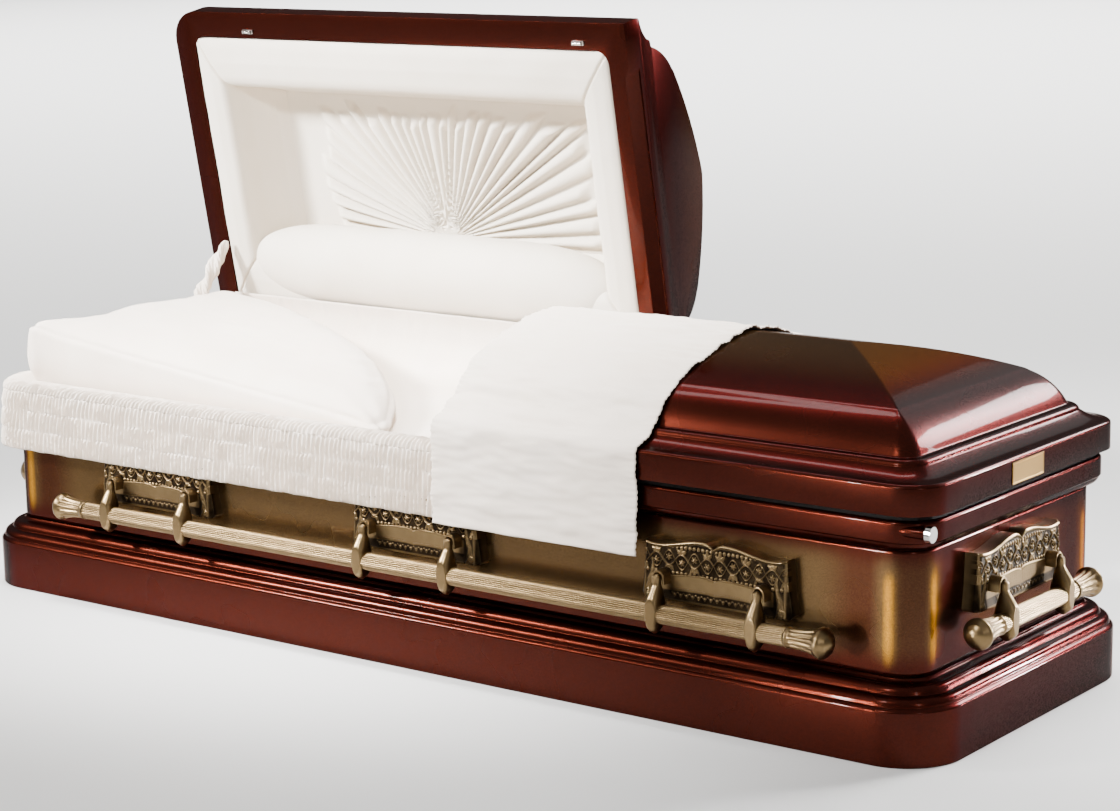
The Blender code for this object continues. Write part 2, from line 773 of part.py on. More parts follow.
def tip_mesh():
    """A fluted trumpet tip with a domed end, along +x from its neck."""
    neck = BAR_R + 0.001
    profile = [(0.0, neck), (0.36, neck + 0.0006), (0.62, 0.80 * TIP_FLARE), (0.76, TIP_FLARE),
               (0.82, TIP_FLARE), (0.93, 0.66 * TIP_FLARE), (1.0, 0.22 * TIP_FLARE)]
    rings = []
    for share, radius in profile:
        fluted = 0.05 if 0.3 < share < 0.7 else 0.0
        ring = []
        for step in range(TIP_SIDES):
            turn = math.tau * step / TIP_SIDES
            reach = radius * (1.0 - (fluted if step % 2 else 0.0))
            ring.append((share * TIP_LENGTH, reach * math.cos(turn), reach * math.sin(turn)))
        rings.append(ring)
    return loft("tip", rings)


def bore_mesh():
    """The clear hole through an arm that the bar runs in."""
    radius = (BAR_R + GAP) / math.cos(math.pi / BORE_SIDES)
    return cylinder_x("bore", radius, -ARM_DEPTH, ARM_DEPTH, BORE_SIDES)


def shared_meshes():
    """Meshes that all the handles share."""
    return {"ear": ear_mesh(), "socket": socket_mesh(), "slot": socket_slot_mesh(), "band": band_mesh(),
            "arm": arm_mesh(), "tip": tip_mesh(), "bore": bore_mesh()}


def build_handle(label, place, ears, bar_length, shared):
    """One swing handle: its ears on the panel and the arms, bar and tips that swing together."""
    for number, x in enumerate(ears, 1):
        ear_name = f"{label}_ear_{number}" if len(ears) > 1 else f"{label}_ear"
        build_ear(ear_name, place, x, shared)
        for hand, sign in (("a", -1), ("b", 1)):
            build_arm(f"{label}_arm_{number}{hand}", place, x + sign * ARM_SPREAD, shared)
    half = bar_length / 2
    rod = cylinder_x(f"{label}_bar", BAR_R, -half, half, REEDED_SIDES, REED)
    bar = add_object(f"{label}_bar", rod, bronze(), place)
    bar.location = (0.0, -BAR_OUT, BAR_Z)
    for hand, sign in (("a", -1), ("b", 1)):
        tip = add_object(f"{label}_tip_{hand}", shared["tip"], bronze(), place)
        tip.location = (sign * (half + GAP), -BAR_OUT, BAR_Z)
        tip.rotation_euler = (0.0, 0.0, 0.0 if sign > 0 else math.pi)


def build_handles():
    """Long handles on both sides and short ones on both ends."""
    shared = shared_meshes()
    side_y = WIDTH / 2 - PANEL_INSET
    end_x = LENGTH / 2 - PANEL_INSET
    ears = (-EAR_PITCH, 0.0, EAR_PITCH)
    front = add_empty("front_handle_place", (FRONT_CENTRE_X, -side_y, 0.0))
    back = add_empty("back_handle_place", (FRONT_CENTRE_X, side_y, 0.0), (0.0, 0.0, math.pi))
    foot = add_empty("foot_handle_place", (end_x, END_CENTRE_Y, END_RAISE), (0.0, 0.0, math.pi / 2))
    head = add_empty("head_handle_place", (-end_x, END_CENTRE_Y, END_RAISE), (0.0, 0.0, -math.pi / 2))
    build_handle("front", front, ears, BAR_FRONT, shared)
    build_handle("back", back, ears, BAR_FRONT, shared)
    build_handle("foot", foot, (0.0,), BAR_END, shared)
    build_handle("head", head, (0.0,), BAR_END, shared)


def lining_inset():
    return PANEL_INSET + SHEET + LINING_CLEAR


def bed_inset():
    return lining_inset() + LINING + BED_CLEAR


def build_body_lining():
    """The padded cloth inside the walls, under the rim's ledge."""
    outer = lining_inset()
    inner = outer + LINING
    high = RIM_TOP - SHEET - LINING_CLEAR
    low = high - LINING_DROP
    section = [(outer, low), (outer, high), (inner - LINING_ROUND / 3, high), (inner, high - LINING_ROUND),
               (inner, low)]
    return add_object("body_lining", swept_ring("body_lining", section, body_radius), cloth())


def build_mattress():
    inset = bed_inset()
    rings = [ring_at(inset + MATTRESS_ROUND, MATTRESS_BOTTOM, body_radius),
             ring_at(inset, MATTRESS_BOTTOM + MATTRESS_ROUND, body_radius),
             ring_at(inset, MATTRESS_TOP - MATTRESS_ROUND, body_radius),
             ring_at(inset + MATTRESS_ROUND, MATTRESS_TOP, body_radius)]
    return add_object("mattress", loft("mattress", rings), cloth())


def frame_half():
    """Half the bed frame's length and width."""
    return LENGTH / 2 - bed_inset() - BED_INSET, WIDTH / 2 - bed_inset() - BED_INSET


def build_bed_frame():
    """A welded frame on six posts that holds the mattress over the floor pan."""
    half_x, half_y = frame_half()
    top = MATTRESS_BOTTOM - GAP
    outer = rounded_outline(half_x, half_y, LEAF, top, 1)
    inner = rounded_outline(half_x - BED_TUBE, half_y - BED_TUBE, LEAF, top, 1)
    outer_low = [(x, y, z - BED_TUBE) for x, y, z in outer]
    inner_low = [(x, y, z - BED_TUBE) for x, y, z in inner]
    mesh = loft("bed_frame", [outer, outer_low, inner_low, inner], closed=True)
    frame = add_object("bed_frame", mesh, steel())
    add_posts(frame, top - BED_TUBE / 2)
    add_slats(frame, top)
    return frame


def add_posts(frame, top):
    half_x, half_y = frame_half()
    margin = (BED_TUBE - POST_SIDE) / 2
    along = (-half_x + margin, -POST_SIDE / 2, half_x - POST_SIDE - margin)
    across = (-half_y + margin, half_y - POST_SIDE - margin)
    for number, (x, y) in enumerate([(x, y) for x in along for y in across]):
        name = f"bed_post_{number}"
        mesh = box(name, (x, y, SHEET + GAP), (x + POST_SIDE, y + POST_SIDE, top))
        combine(frame, add_object(name, mesh, steel()), "UNION")


def add_slats(frame, top):
    half_x, half_y = frame_half()
    margin = BED_TUBE / 2
    for number in range(SLATS):
        x = -half_x + (number + 0.5) * 2 * half_x / SLATS - SLAT_WIDTH / 2
        name = f"bed_slat_{number}"
        mesh = box(name, (x, -half_y + margin, top - 1.5 * SLAT_DEPTH),
                   (x + SLAT_WIDTH, half_y - margin, top - SLAT_DEPTH / 2))
        combine(frame, add_object(name, mesh, steel()), "UNION")


def pillow_outline():
    """The pillow's plan: square at the head, its foot side cut back in a long curve to the rear."""
    head = -(LENGTH / 2 - bed_inset() - PILLOW_CLEAR)
    half = WIDTH / 2 - bed_inset() - 2 * PILLOW_CLEAR
    middle = head + 0.45 * (PILLOW_FOOT - head)
    points = [(head, half), (head, -half), (middle, -half), (PILLOW_FOOT - 0.02, -half)]
    points += arc((PILLOW_FOOT, -half + 0.01), (head + PILLOW_REAR, half), -0.10, 8)
    return points


def pillow_seam(x, head):
    """The height of the pillow's seam, which falls from the head end to the foot."""
    share = (x - head) / (PILLOW_FOOT - head)
    return PILLOW_HEAD_SEAM + (PILLOW_FOOT_SEAM - PILLOW_HEAD_SEAM) * share


def pillow_ring(plan, scale, lift):
    """The plan drawn in by a scale, at a lift over the seam; no lift lays it on the mattress."""
    head = min(x for x, _ in plan)
    middle = sum(x for x, _ in plan) / len(plan)
    ring = []
    for x, y in plan:
        near = middle + (x - middle) * scale
        height = MATTRESS_TOP + PILLOW_CLEAR / 6
        if lift is not None:
            height = pillow_seam(near, head) + lift
        ring.append((near, y * scale, height))
    return ring


def build_pillow():
    """A wedge-shaped cushion that rises to the head end, its seam on a slope."""
    plan = pillow_outline()
    steps = [(0.97, None), (1.0, -0.008), (1.0, 0.0), (0.86, 0.7 * PILLOW_CROWN), (0.60, PILLOW_CROWN)]
    rings = [pillow_ring(plan, scale, lift) for scale, lift in steps]
    return add_object("pillow", loft("pillow", rings), cloth())


def skirt_path(inset, stop_x):
    """Plan points of the skirt's run: along the front, round the head corner, along the end."""
    half_x = LENGTH / 2 - inset
    half_y = WIDTH / 2 - inset
    radius = rim_radius(inset)
    straight = half_x + stop_x - radius
    points = [(stop_x - straight * share, -half_y) for share in (0.0, 0.5, 1.0)]
    for step in range(1, CORNER_STEPS + 1):
        turn = math.radians(270.0 - 90.0 * step / CORNER_STEPS)
        points.append((radius * (1.0 + math.cos(turn)) - half_x, radius * (1.0 + math.sin(turn)) - half_y))
    points += [(-half_x, 0.0), (-half_x, half_y - radius)]
    return points


def skirt_section():
    """The skirt's closed section as (inset, height): over the rim's ledge and down outside it."""
    over = SEAT_Z + GAP
    inner = RIM_INNER + REST
    outer = RIM_INSET - REST
    hem = min(outer - REST, PANEL_INSET - EAR_DEPTH - 2 * REST)
    fold = RIM_TOP - RIM_ROUND
    clear = EAR_TOP + LINING_ROUND
    return [(inner + REST, fold), (RIM_INNER, over + CLOTH), (GASKET_INSET, over + CLOTH),
            (outer - CLOTH, fold), (hem - CLOTH, clear), (hem - CLOTH, SKIRT_BOTTOM), (hem, SKIRT_BOTTOM),
            (hem, clear), (outer, fold), (GASKET_INSET - REST, over), (RIM_INNER - REST, over),
            (inner, RIM_TOP + REST)]


def build_skirt():
    """The cloth that turns over the front and head-end rim and hangs outside it."""
    stop = OVERLAY_X[0] - 2 * REST
    section = skirt_section()
    paths = [skirt_path(inset, stop) for inset, _ in section]
    rings = []
    for index in range(len(paths[0])):
        rings.append([(*path[index], height) for path, (_, height) in zip(paths, section)])
    return add_object("extendover_skirt", loft("extendover_skirt", rings), cloth())


def build_overlay(pivot):
    """The throw laid over the foot lid's head end, hanging down the front."""
    under = offset(lid_section(), -5 * GAP)
    over = offset(under, -CLOTH)
    under.insert(0, (under[0][0], OVERLAY_BOTTOM))
    over.insert(0, (over[0][0], OVERLAY_BOTTOM))
    lower = [(inset - WIDTH / 2, height) for inset, height in under]
    upper = [(inset - WIDTH / 2, height) for inset, height in over]
    lower += [(-y, z) for y, z in reversed(lower[4:-1])]
    upper += [(-y, z) for y, z in reversed(upper[4:-1])]
    points = [(OVERLAY_X[0], y, z) for y, z in lower + upper[::-1]]
    mesh = extrude_outline("overlay_throw", points, (OVERLAY_X[1] - OVERLAY_X[0], 0.0, 0.0), smooth=True)
    made = add_object("overlay_throw", mesh, cloth(), pivot)
    made.location = (0.0, -HINGE_Y, -HINGE_Z)
    return made


def lid_point(x, y, z):
    """Where a point of the closed head lid is once the lid stands open."""
    turn = math.radians(OPEN_DEG)
    out = y - HINGE_Y
    up = z - HINGE_Z
    return Vector((x, HINGE_Y + out * math.cos(turn) + up * math.sin(turn),
                   HINGE_Z - out * math.sin(turn) + up * math.cos(turn)))


def build_stay():
    """The cloth-covered stay from the open lid's lining, at the head end, down to the body's rim."""
    upper_x = mouth_limits(-1)[0] + STAY_TOP_IN
    lower_x = -(LENGTH / 2 - RIM_INSET - SHEET - RIM_LEDGE / 2)
    upper = lid_point(upper_x, STAY_TOP_Y, SEAT_Z - STAY_R - 6 * REST)
    lower = Vector((lower_x, STAY_FOOT_Y, SEAT_Z + CLOTH + STAY_R + 2 * REST))
    curve = bpy.data.curves.new("lid_stay", "CURVE")
    curve.dimensions = "3D"
    curve.bevel_depth = STAY_R
    curve.bevel_resolution = 2
    curve.use_fill_caps = True
    spline = curve.splines.new("POLY")
    spline.points.add(STAY_POINTS - 1)
    for index, point in enumerate(spline.points):
        share = index / (STAY_POINTS - 1)
        place = upper.lerp(lower, share)
        bow = STAY_BOW * math.sin(math.pi * share)
        point.co = (place.x, place.y - bow, place.z - bow, 1.0)
    curve.materials.append(cloth())
    stay = bpy.data.objects.new("lid_stay", curve)
    bpy.context.scene.collection.objects.link(stay)
    return stay


def build_lids():
    """Both lids on their common hinge axis, the head lid standing open."""
    head = add_empty("head_lid_pivot", (0.0, HINGE_Y, HINGE_Z), (-math.radians(OPEN_DEG), 0.0, 0.0))
    foot = add_empty("foot_lid_pivot", (0.0, HINGE_Y, HINGE_Z))
    build_lid("head_lid", -1, head)
    build_lid("foot_lid", 1, foot)
    build_lid_lining("head_lid_lining", -1, head)
    build_lid_lining("foot_lid_lining", 1, foot)
    lid_end = LENGTH / 2 - LID_INSET
    build_hinge("head", (SPLIT_X - lid_end) / 2, head)
    build_hinge("foot", (SPLIT_X + lid_end) / 2, foot)
    build_catches(head)
    build_nameplate(foot)
    build_overlay(foot)


def main():
    clear_scene()
    build_plinth()
    build_bottom()
    build_panel()
    build_rim()
    build_tube_cap()
    build_gasket()
    build_lids()
    build_handles()
    build_body_lining()
    build_bed_frame()
    build_mattress()
    build_pillow()
    build_skirt()
    build_stay()


main()
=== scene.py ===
"""Half-couch steel casket: candy copper paint, antique bronze swing handles and an ivory cloth interior.

Frame: +X runs to the foot end, -Y to the front, +Z up, in metres. Sections are (inset, height) pairs, and
an inset is measured inwards from the plinth's face. The head lid is shaped closed and then swung open.
"""

import logging
import math
from contextlib import contextmanager
from dataclasses import dataclass, field
from enum import Enum
from typing import Callable, Iterable, Iterator, Sequence

import bmesh
import bpy
import numpy as np
from mathutils import Matrix, Vector
from mathutils.noise import fractal

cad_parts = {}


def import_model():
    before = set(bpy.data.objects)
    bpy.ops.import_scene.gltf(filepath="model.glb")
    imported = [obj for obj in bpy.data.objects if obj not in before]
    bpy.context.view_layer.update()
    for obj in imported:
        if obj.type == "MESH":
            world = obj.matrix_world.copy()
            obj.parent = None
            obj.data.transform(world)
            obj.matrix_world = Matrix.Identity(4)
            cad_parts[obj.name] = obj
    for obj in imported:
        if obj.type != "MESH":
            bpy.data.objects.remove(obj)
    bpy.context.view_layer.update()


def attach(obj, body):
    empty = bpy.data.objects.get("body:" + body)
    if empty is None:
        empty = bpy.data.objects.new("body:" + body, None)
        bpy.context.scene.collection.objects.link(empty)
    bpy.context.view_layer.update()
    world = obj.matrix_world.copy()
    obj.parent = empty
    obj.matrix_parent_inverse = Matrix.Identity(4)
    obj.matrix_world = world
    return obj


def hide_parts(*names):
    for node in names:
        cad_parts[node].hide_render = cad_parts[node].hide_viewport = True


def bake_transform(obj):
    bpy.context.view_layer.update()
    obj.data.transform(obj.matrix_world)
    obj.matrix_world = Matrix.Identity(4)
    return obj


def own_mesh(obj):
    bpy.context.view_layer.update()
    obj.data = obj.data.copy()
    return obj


LOG = logging.getLogger("casket")
Section = list[tuple[float, float]]
Array = np.ndarray

SEAT_Z = 0.396  # lower edge of the closed lids
LID_INSET = 0.0186  # of the lids' rim face
PANEL_INSET = 0.050  # of the four walls
HALF_WIDTH = 0.355  # of the plinth
HALF_LENGTH = 1.065
SPLIT_X = 0.100  # where the two lids meet
HALF_SPLIT = 0.0015  # from there to each lid's header
SHEET = 0.0012  # the steel's thickness
CLOTH = 0.0015  # the thickness of lined cloth
GAUZE = 0.0012  # the thickness of thin crepe
TINY = 1e-9  # keeps a division off zero
HINGE = Vector((0.0, 0.3559, 0.410))
OPEN_TURN = math.radians(-79.5)
SOFT = 80.0  # degrees up to which cloth is shaded smooth
BLOW_FRAMES = 20  # length of the pillow's cloth simulation
SEED = 20


class Side(Enum):
    """The two lids, by the direction in which each runs from the split."""

    HEAD = -1
    FOOT = 1


class Weave(Enum):
    """Cloths of the interior."""

    CREPE = "crepe"
    VELVET = "velvet"


def linear(hex_code: str) -> tuple[float, float, float, float]:
    """Turn an sRGB hex colour to linear light.

    Args:
        hex_code: Six hex digits after a hash sign.

    Returns:
        Red, green, blue and an alpha of one.
    """
    parts = [int(hex_code[at:at + 2], 16) / 255.0 for at in (1, 3, 5)]
    light = [part / 12.92 if part <= 0.04045 else ((part + 0.055) / 1.055) ** 2.4 for part in parts]
    return (*light, 1.0)


def ease(low: float, high: float, value: Array) -> Array:
    """Rise smoothly from 0 at low to 1 at high, or fall where low is above high."""
    share = np.clip((value - low) / (high - low), 0.0, 1.0)
    return share * share * (3.0 - 2.0 * share)


def wobble(points: Array, size: float, seed: float = 0.0) -> Array:
    """Smooth noise at points.

    Args:
        points: Rows of three coordinates in metres.
        size: The size of one swell in metres.
        seed: An offset that picks another field.

    Returns:
        One value a row, from about -1 to 1.
    """
    scaled = points / size + seed
    return np.array([fractal(Vector(row), 1.0, 2.0, 2) for row in scaled])


# Shapes ----------------------------------------------------------------------------------------------


def bell(value: Array, width: float) -> Array:
    """A bump of height 1 where value is 0."""
    return np.exp(-(value / width) ** 2)


def dome(value: Array, width: float) -> Array:
    """A round cap of height 1 where value is 0, and 0 from the width outwards."""
    return np.clip(1.0 - (value / width) ** 2, 0.0, 1.0)


def arc(start: tuple, end: tuple, bulge: float, steps: int = 8) -> Section:
    """Bow a line from start to end.

    Args:
        start: Where the bow starts, which is left out.
        end: Where it ends.
        bulge: The bow's height over its chord, to the left of the way.
        steps: Segments in the bow.

    Returns:
        The points after start, up to end.
    """
    (x0, y0), (x1, y1) = start, end
    points = []
    for index in range(1, steps + 1):
        share = index / steps
        rise = 4.0 * bulge * share * (1.0 - share)
        points.append((x0 + (x1 - x0) * share - (y1 - y0) * rise, y0 + (y1 - y0) * share + (x1 - x0) * rise))
    return points


def soften(section: Section, reach: float = 0.0014, steps: int = 4) -> Section:
    """Round the corners of a section.

    Args:
        section: The section's points.
        reach: How far from a corner its round starts.
        steps: Segments in each round.

    Returns:
        The section with a short curve at each corner of over 12 degrees.
    """
    done = [section[0]]
    for before, here, after in zip(section, section[1:], section[2:]):
        corner = Vector(here)
        back, ahead = Vector(before) - corner, Vector(after) - corner
        if back.length < 1e-7 or ahead.length < 1e-7 or math.pi - back.angle(ahead) < math.radians(12):
            done.append(here)
            continue
        cut = min(reach, 0.45 * back.length, 0.45 * ahead.length)
        start, end = corner + back.normalized() * cut, corner + ahead.normalized() * cut
        for index in range(steps + 1):
            share = index / steps
            point = start * (1 - share) ** 2 + corner * 2 * share * (1 - share) + end * share ** 2
            done.append((point.x, point.y))
    done.append(section[-1])
    return done


def offset(section: Section, distance: float) -> Section:
    """Move a section sideways, with mitred corners.

    Args:
        section: The section's points.
        distance: How far it moves to its right.

    Returns:
        The moved points, as many as before.
    """
    moved = []
    for index, point in enumerate(section):
        here = Vector(point)
        near = section[max(index - 1, 0):index + 2]
        runs = [(Vector(b) - Vector(a)).normalized() for a, b in zip(near, near[1:])]
        normals = [Vector((run.y, -run.x)) for run in runs]
        mean = sum(normals, Vector((0.0, 0.0))).normalized()
        moved.append(tuple(here + mean * distance / max(mean.dot(normals[0]), 0.5)))
    return moved


def resample(section: Sequence, count: int) -> Array:
    """Spread points evenly along a line.

    Args:
        section: The line's points.
        count: How many points to spread.

    Returns:
        One row a point.
    """
    line = np.asarray(section, float)
    run = np.concatenate([[0.0], np.cumsum(np.linalg.norm(np.diff(line, axis=0), axis=1))])
    at = np.linspace(0.0, run[-1], count)
    return np.stack([np.interp(at, run, line[:, axis]) for axis in range(line.shape[1])], axis=1)


def relaxed(line: Array, passes: int) -> Array:
    """Smooth a line of points between its ends.

    Args:
        line: The points, which are changed.
        passes: How often each point moves to the mean of its neighbours and itself.

    Returns:
        The same line.
    """
    for _ in range(passes):
        line[1:-1] = (line[:-2] + 2 * line[1:-1] + line[2:]) / 4
    return line


def curve_through(keys: Sequence[float], values: Sequence[float], at: Array) -> Array:
    """Draw a smooth curve through keyed values, with no overshoot at flat spots.

    Args:
        keys: Where the values stand, in rising order.
        values: The value at each key.
        at: Where the curve is read.

    Returns:
        The curve's value at each of those places.
    """
    keys, values = np.asarray(keys, float), np.asarray(values, float)
    slope = np.gradient(values, keys)
    cell = np.clip(np.searchsorted(keys, at) - 1, 0, len(keys) - 2)
    size = keys[cell + 1] - keys[cell]
    s = np.clip((at - keys[cell]) / size, 0.0, 1.0)
    return ((2 * s ** 3 - 3 * s ** 2 + 1) * values[cell] + (s ** 3 - 2 * s ** 2 + s) * size * slope[cell]
            + (3 * s ** 2 - 2 * s ** 3) * values[cell + 1] + (s ** 3 - s ** 2) * size * slope[cell + 1])


def rounded_box(low: tuple, high: tuple, radius: float, corner: int, long: int = 1, short: int = 1) -> Array:
    """Draw a rounded rectangle, counter-clockwise from its corner at +x +y.

    Args:
        low: Least x and y.
        high: Greatest x and y.
        radius: Corner radius.
        corner: Segments in each corner.
        long: Segments on each side that runs along x.
        short: Segments on each side that runs along y.

    Returns:
        The outline's points in order, one row of x and y each.
    """
    centre = (np.array(low) + np.array(high)) / 2
    half = (np.array(high) - np.array(low)) / 2 - radius
    corners = []
    for quarter, sign in enumerate(((1, 1), (-1, 1), (-1, -1), (1, -1))):
        turn = np.radians(90.0 * (quarter + np.linspace(0.0, 1.0, corner + 1)))
        corners.append(centre + half * sign + radius * np.stack([np.cos(turn), np.sin(turn)], axis=1))
    points = []
    for quarter, here in enumerate(corners):
        after = corners[(quarter + 1) % 4][0]
        steps = long if quarter % 2 == 0 else short
        points.append(here)
        points.append(np.array([here[-1] + (after - here[-1]) * step / steps for step in range(1, steps)]
                               ).reshape(-1, 2))
    return np.concatenate(points)


def plan_ring(inset: float, height: float, radius_of: Callable[[float], float], corner: int = 10,
              sides: tuple[int, int] = (24, 10)) -> Array:
    """Draw the casket's plan as one level ring.

    Args:
        inset: How far inside the plinth's face it runs.
        height: Its height.
        radius_of: Gives the corner radius at an inset.
        corner: Segments in each corner.
        sides: Segments on each long and each short side.

    Returns:
        The ring's points in order.
    """
    high = (HALF_LENGTH - inset, HALF_WIDTH - inset)
    flat = rounded_box((-high[0], -high[1]), high, radius_of(inset), corner, *sides)
    return np.column_stack([flat, np.full(len(flat), height)])


def circle(count: int) -> Array:
    """Angles of points spread round a circle."""
    return np.linspace(0.0, math.tau, count, endpoint=False)


def hoop(turn: Array, centre: tuple[float, float, float], across: Array, high: Array) -> Array:
    """Draw a closed round in the plane of y and z.

    Args:
        turn: The angle of each point.
        centre: The round's centre.
        across: Its half size along y, at all points or at each.
        high: Its half size along z.

    Returns:
        The points, one row each.
    """
    x, y, z = centre
    return np.column_stack([np.full(len(turn), x), y + across * np.cos(turn), z + high * np.sin(turn)])


def body_radius(inset: float) -> float:
    """Corner radius of the plinth and panel."""
    return max(0.103 - inset, 0.006)


def rim_radius(inset: float) -> float:
    """Corner radius of the body's rim."""
    return max(0.053 + 0.6 * (PANEL_INSET - inset), 0.006)


def lid_radius(inset: float) -> float:
    """Corner radius of the lids, which sharpens into the hips."""
    return max(0.064 - 0.5 * (inset - LID_INSET), 0.004)


def plinth_section() -> Section:
    """Plinth face, shoulder, two convex beads and a cove.

    Returns:
        The section's points, from below upwards.
    """
    section = [(0.002, 0.0), (0.0, 0.002), (0.0, 0.090), (0.004, 0.094), (0.006, 0.095)]
    section += arc((0.006, 0.095), (0.020, 0.110), 0.22)
    section.append((0.022, 0.111))
    section += arc((0.022, 0.111), (0.040, 0.125), 0.22)
    section += arc((0.040, 0.125), (0.0495, 0.131), -0.15, 5)
    return soften(section, 0.0025)


def rim_section() -> Section:
    """Cove out from the panel, rim face and the gasket's ledge.

    Returns:
        The section's points, from below upwards.
    """
    section = [(0.0500, 0.3353)] + arc((0.0500, 0.3353), (0.0310, 0.3495), 0.18, 6)
    section += [(0.0290, 0.3515), (0.0290, 0.382), (0.0330, 0.386), (0.0782, 0.386)]
    return soften(section, 0.003)


def lid_section() -> Section:
    """Rim face, ledge, bead, broad roll, step and crown of a lid.

    Returns:
        The section's points, from below upwards.
    """
    base = SEAT_Z + 0.049

    def at(run: float, rise: float) -> tuple[float, float]:
        """A point by its way inwards and upwards from the ledge's outer edge."""
        return (LID_INSET + run, base + rise)

    section = [at(0.0, -0.049), at(0.0, -0.0035), at(0.0035, 0.0), at(0.012, 0.0012)]
    section += arc(at(0.012, 0.0012), at(0.045, 0.0176), -0.07, 5)
    section += arc(at(0.045, 0.0176), at(0.058, 0.0274), 0.22, 6)
    section.append(at(0.062, 0.0285))
    section += arc(at(0.062, 0.0285), at(0.117, 0.0860), 0.09, 12)
    section.append(at(0.123, 0.0901))
    section += arc(at(0.123, 0.0901), at(0.332, 0.1465), 0.035, 10)
    return soften(section, 0.003)


def face_out(bm: bmesh.types.BMesh, inside: Vector | None) -> None:
    """Turn faces outwards.

    Args:
        bm: The mesh.
        inside: A point that the faces look away from, or None where the shape is closed.
    """
    bmesh.ops.recalc_face_normals(bm, faces=bm.faces)
    if inside is None:
        return
    total = sum((face.calc_center_median() - inside).dot(face.normal) * face.calc_area() for face in bm.faces)
    if total < 0.0:
        bmesh.ops.reverse_faces(bm, faces=bm.faces)


def linked(name: str, data: bpy.types.ID) -> bpy.types.Object:
    """Put new data in the scene as an object at the origin.

    Args:
        name: The object's name.
        data: Its mesh, lamp or camera.

    Returns:
        The object.
    """
    made = bpy.data.objects.new(name, data)
    bpy.context.scene.collection.objects.link(made)
    return made


def smooth_to(mesh: bpy.types.Mesh, sharp: float) -> None:
    """Shade a mesh smooth, apart from edges over an angle in degrees."""
    mesh.shade_smooth()
    mesh.set_sharp_from_angle(angle=math.radians(sharp))


def finished(name: str, bm: bmesh.types.BMesh, sharp: float = 35.0) -> bpy.types.Object:
    """Make an object of a bmesh and free it.

    Args:
        name: The object's name.
        bm: The mesh.
        sharp: Edges over this many degrees stay sharp.

    Returns:
        The object, at the origin.
    """
    mesh = bpy.data.meshes.new(name)
    bm.to_mesh(mesh)
    bm.free()
    smooth_to(mesh, sharp)
    return linked(name, mesh)


@contextmanager
def reworked(piece: bpy.types.Object) -> Iterator[bmesh.types.BMesh]:
    """Open a piece's mesh for operators and write it back.

    Args:
        piece: The piece.

    Yields:
        The mesh, open.
    """
    bm = bmesh.new()
    bm.from_mesh(piece.data)
    yield bm
    bm.to_mesh(piece.data)
    bm.free()


def close_holes(bm: bmesh.types.BMesh) -> None:
    """Fill every open edge loop."""
    bmesh.ops.holes_fill(bm, edges=[edge for edge in bm.edges if edge.is_boundary], sides=0)


def relax_mesh(piece: bpy.types.Object) -> None:
    """Smooth a piece's vertices once, half the way to their neighbours' mean.

    Args:
        piece: The piece.
    """
    with reworked(piece) as bm:
        bmesh.ops.smooth_vert(bm, verts=bm.verts, factor=0.5, use_axis_x=True, use_axis_y=True,
                              use_axis_z=True)


def block(bm: bmesh.types.BMesh, size: Sequence[float], place: Matrix) -> None:
    """Add a box of a size at a place."""
    bmesh.ops.create_cube(bm, size=1.0, matrix=place @ Matrix.Diagonal((*size, 1.0)))


def skin(name: str, rows: Iterable, ring: bool = True, loop: bool = False, capped: bool = False,
         inside: Vector | None = None, sharp: float = 35.0) -> bpy.types.Object:
    """Lay a grid over rows of points.

    Args:
        name: The piece's name.
        rows: Rows of points, all of one length.
        ring: Each row closes on itself.
        loop: The last row joins the first.
        capped: The open ends are filled.
        inside: A point that the faces look away from.
        sharp: Edges over this many degrees stay sharp.

    Returns:
        The new object.
    """
    points = np.asarray(list(rows), float)
    if ring:
        points = np.concatenate([points, points[:, :1]], axis=1)
    if loop:
        points = np.concatenate([points, points[:1]], axis=0)
    tall, wide = points.shape[:2]
    bm = bmesh.new()
    bm.loops.layers.uv.new("UVMap")
    bmesh.ops.create_grid(bm, x_segments=wide - 1, y_segments=tall - 1, size=1.0, calc_uvs=True)
    for vert, point in zip(bm.verts, points.reshape(-1, 3)):
        vert.co = point
    if ring or loop:
        bmesh.ops.remove_doubles(bm, verts=bm.verts, dist=1e-6)
    if capped:
        close_holes(bm)
    face_out(bm, inside)
    return finished(name, bm, sharp)


def thicken(piece: bpy.types.Object, depth: float) -> bpy.types.Object:
    """Give a sheet its thickness.

    Args:
        piece: The sheet.
        depth: The thickness, which lies on its inner side.

    Returns:
        The same piece.
    """
    wall = piece.modifiers.new("sheet", "SOLIDIFY")
    wall.thickness = depth
    wall.offset = -1.0
    return piece


def settle(piece: bpy.types.Object) -> None:
    """Apply a piece's modifiers to its mesh.

    Args:
        piece: The piece.
    """
    graph = bpy.context.evaluated_depsgraph_get()
    mesh = bpy.data.meshes.new_from_object(piece.evaluated_get(graph))
    piece.modifiers.clear()
    piece.data = mesh


def carve(target: bpy.types.Object, tool: bpy.types.Object) -> None:
    """Cut a tool's shape off a target and put the tool away.

    Args:
        target: The piece that is cut.
        tool: A closed solid, which is removed.
    """
    cut = target.modifiers.new("carve", "BOOLEAN")
    cut.operation = "DIFFERENCE"
    cut.solver = "EXACT"
    cut.object = tool
    settle(target)
    bpy.data.objects.remove(tool)


def joined(name: str, pieces: Sequence[bpy.types.Object]) -> bpy.types.Object:
    """Put several meshes into one.

    Args:
        name: The new object's name.
        pieces: The objects, which are removed.

    Returns:
        The new object.
    """
    bm = bmesh.new()
    for piece in pieces:
        bm.from_mesh(piece.data)
        bpy.data.objects.remove(piece)
    return finished(name, bm)


def coordinates(piece: bpy.types.Object) -> Array:
    """Read a mesh's vertices.

    Args:
        piece: The piece.

    Returns:
        One row of x, y and z a vertex.
    """
    flat = np.empty(len(piece.data.vertices) * 3)
    piece.data.vertices.foreach_get("co", flat)
    return flat.reshape(-1, 3)


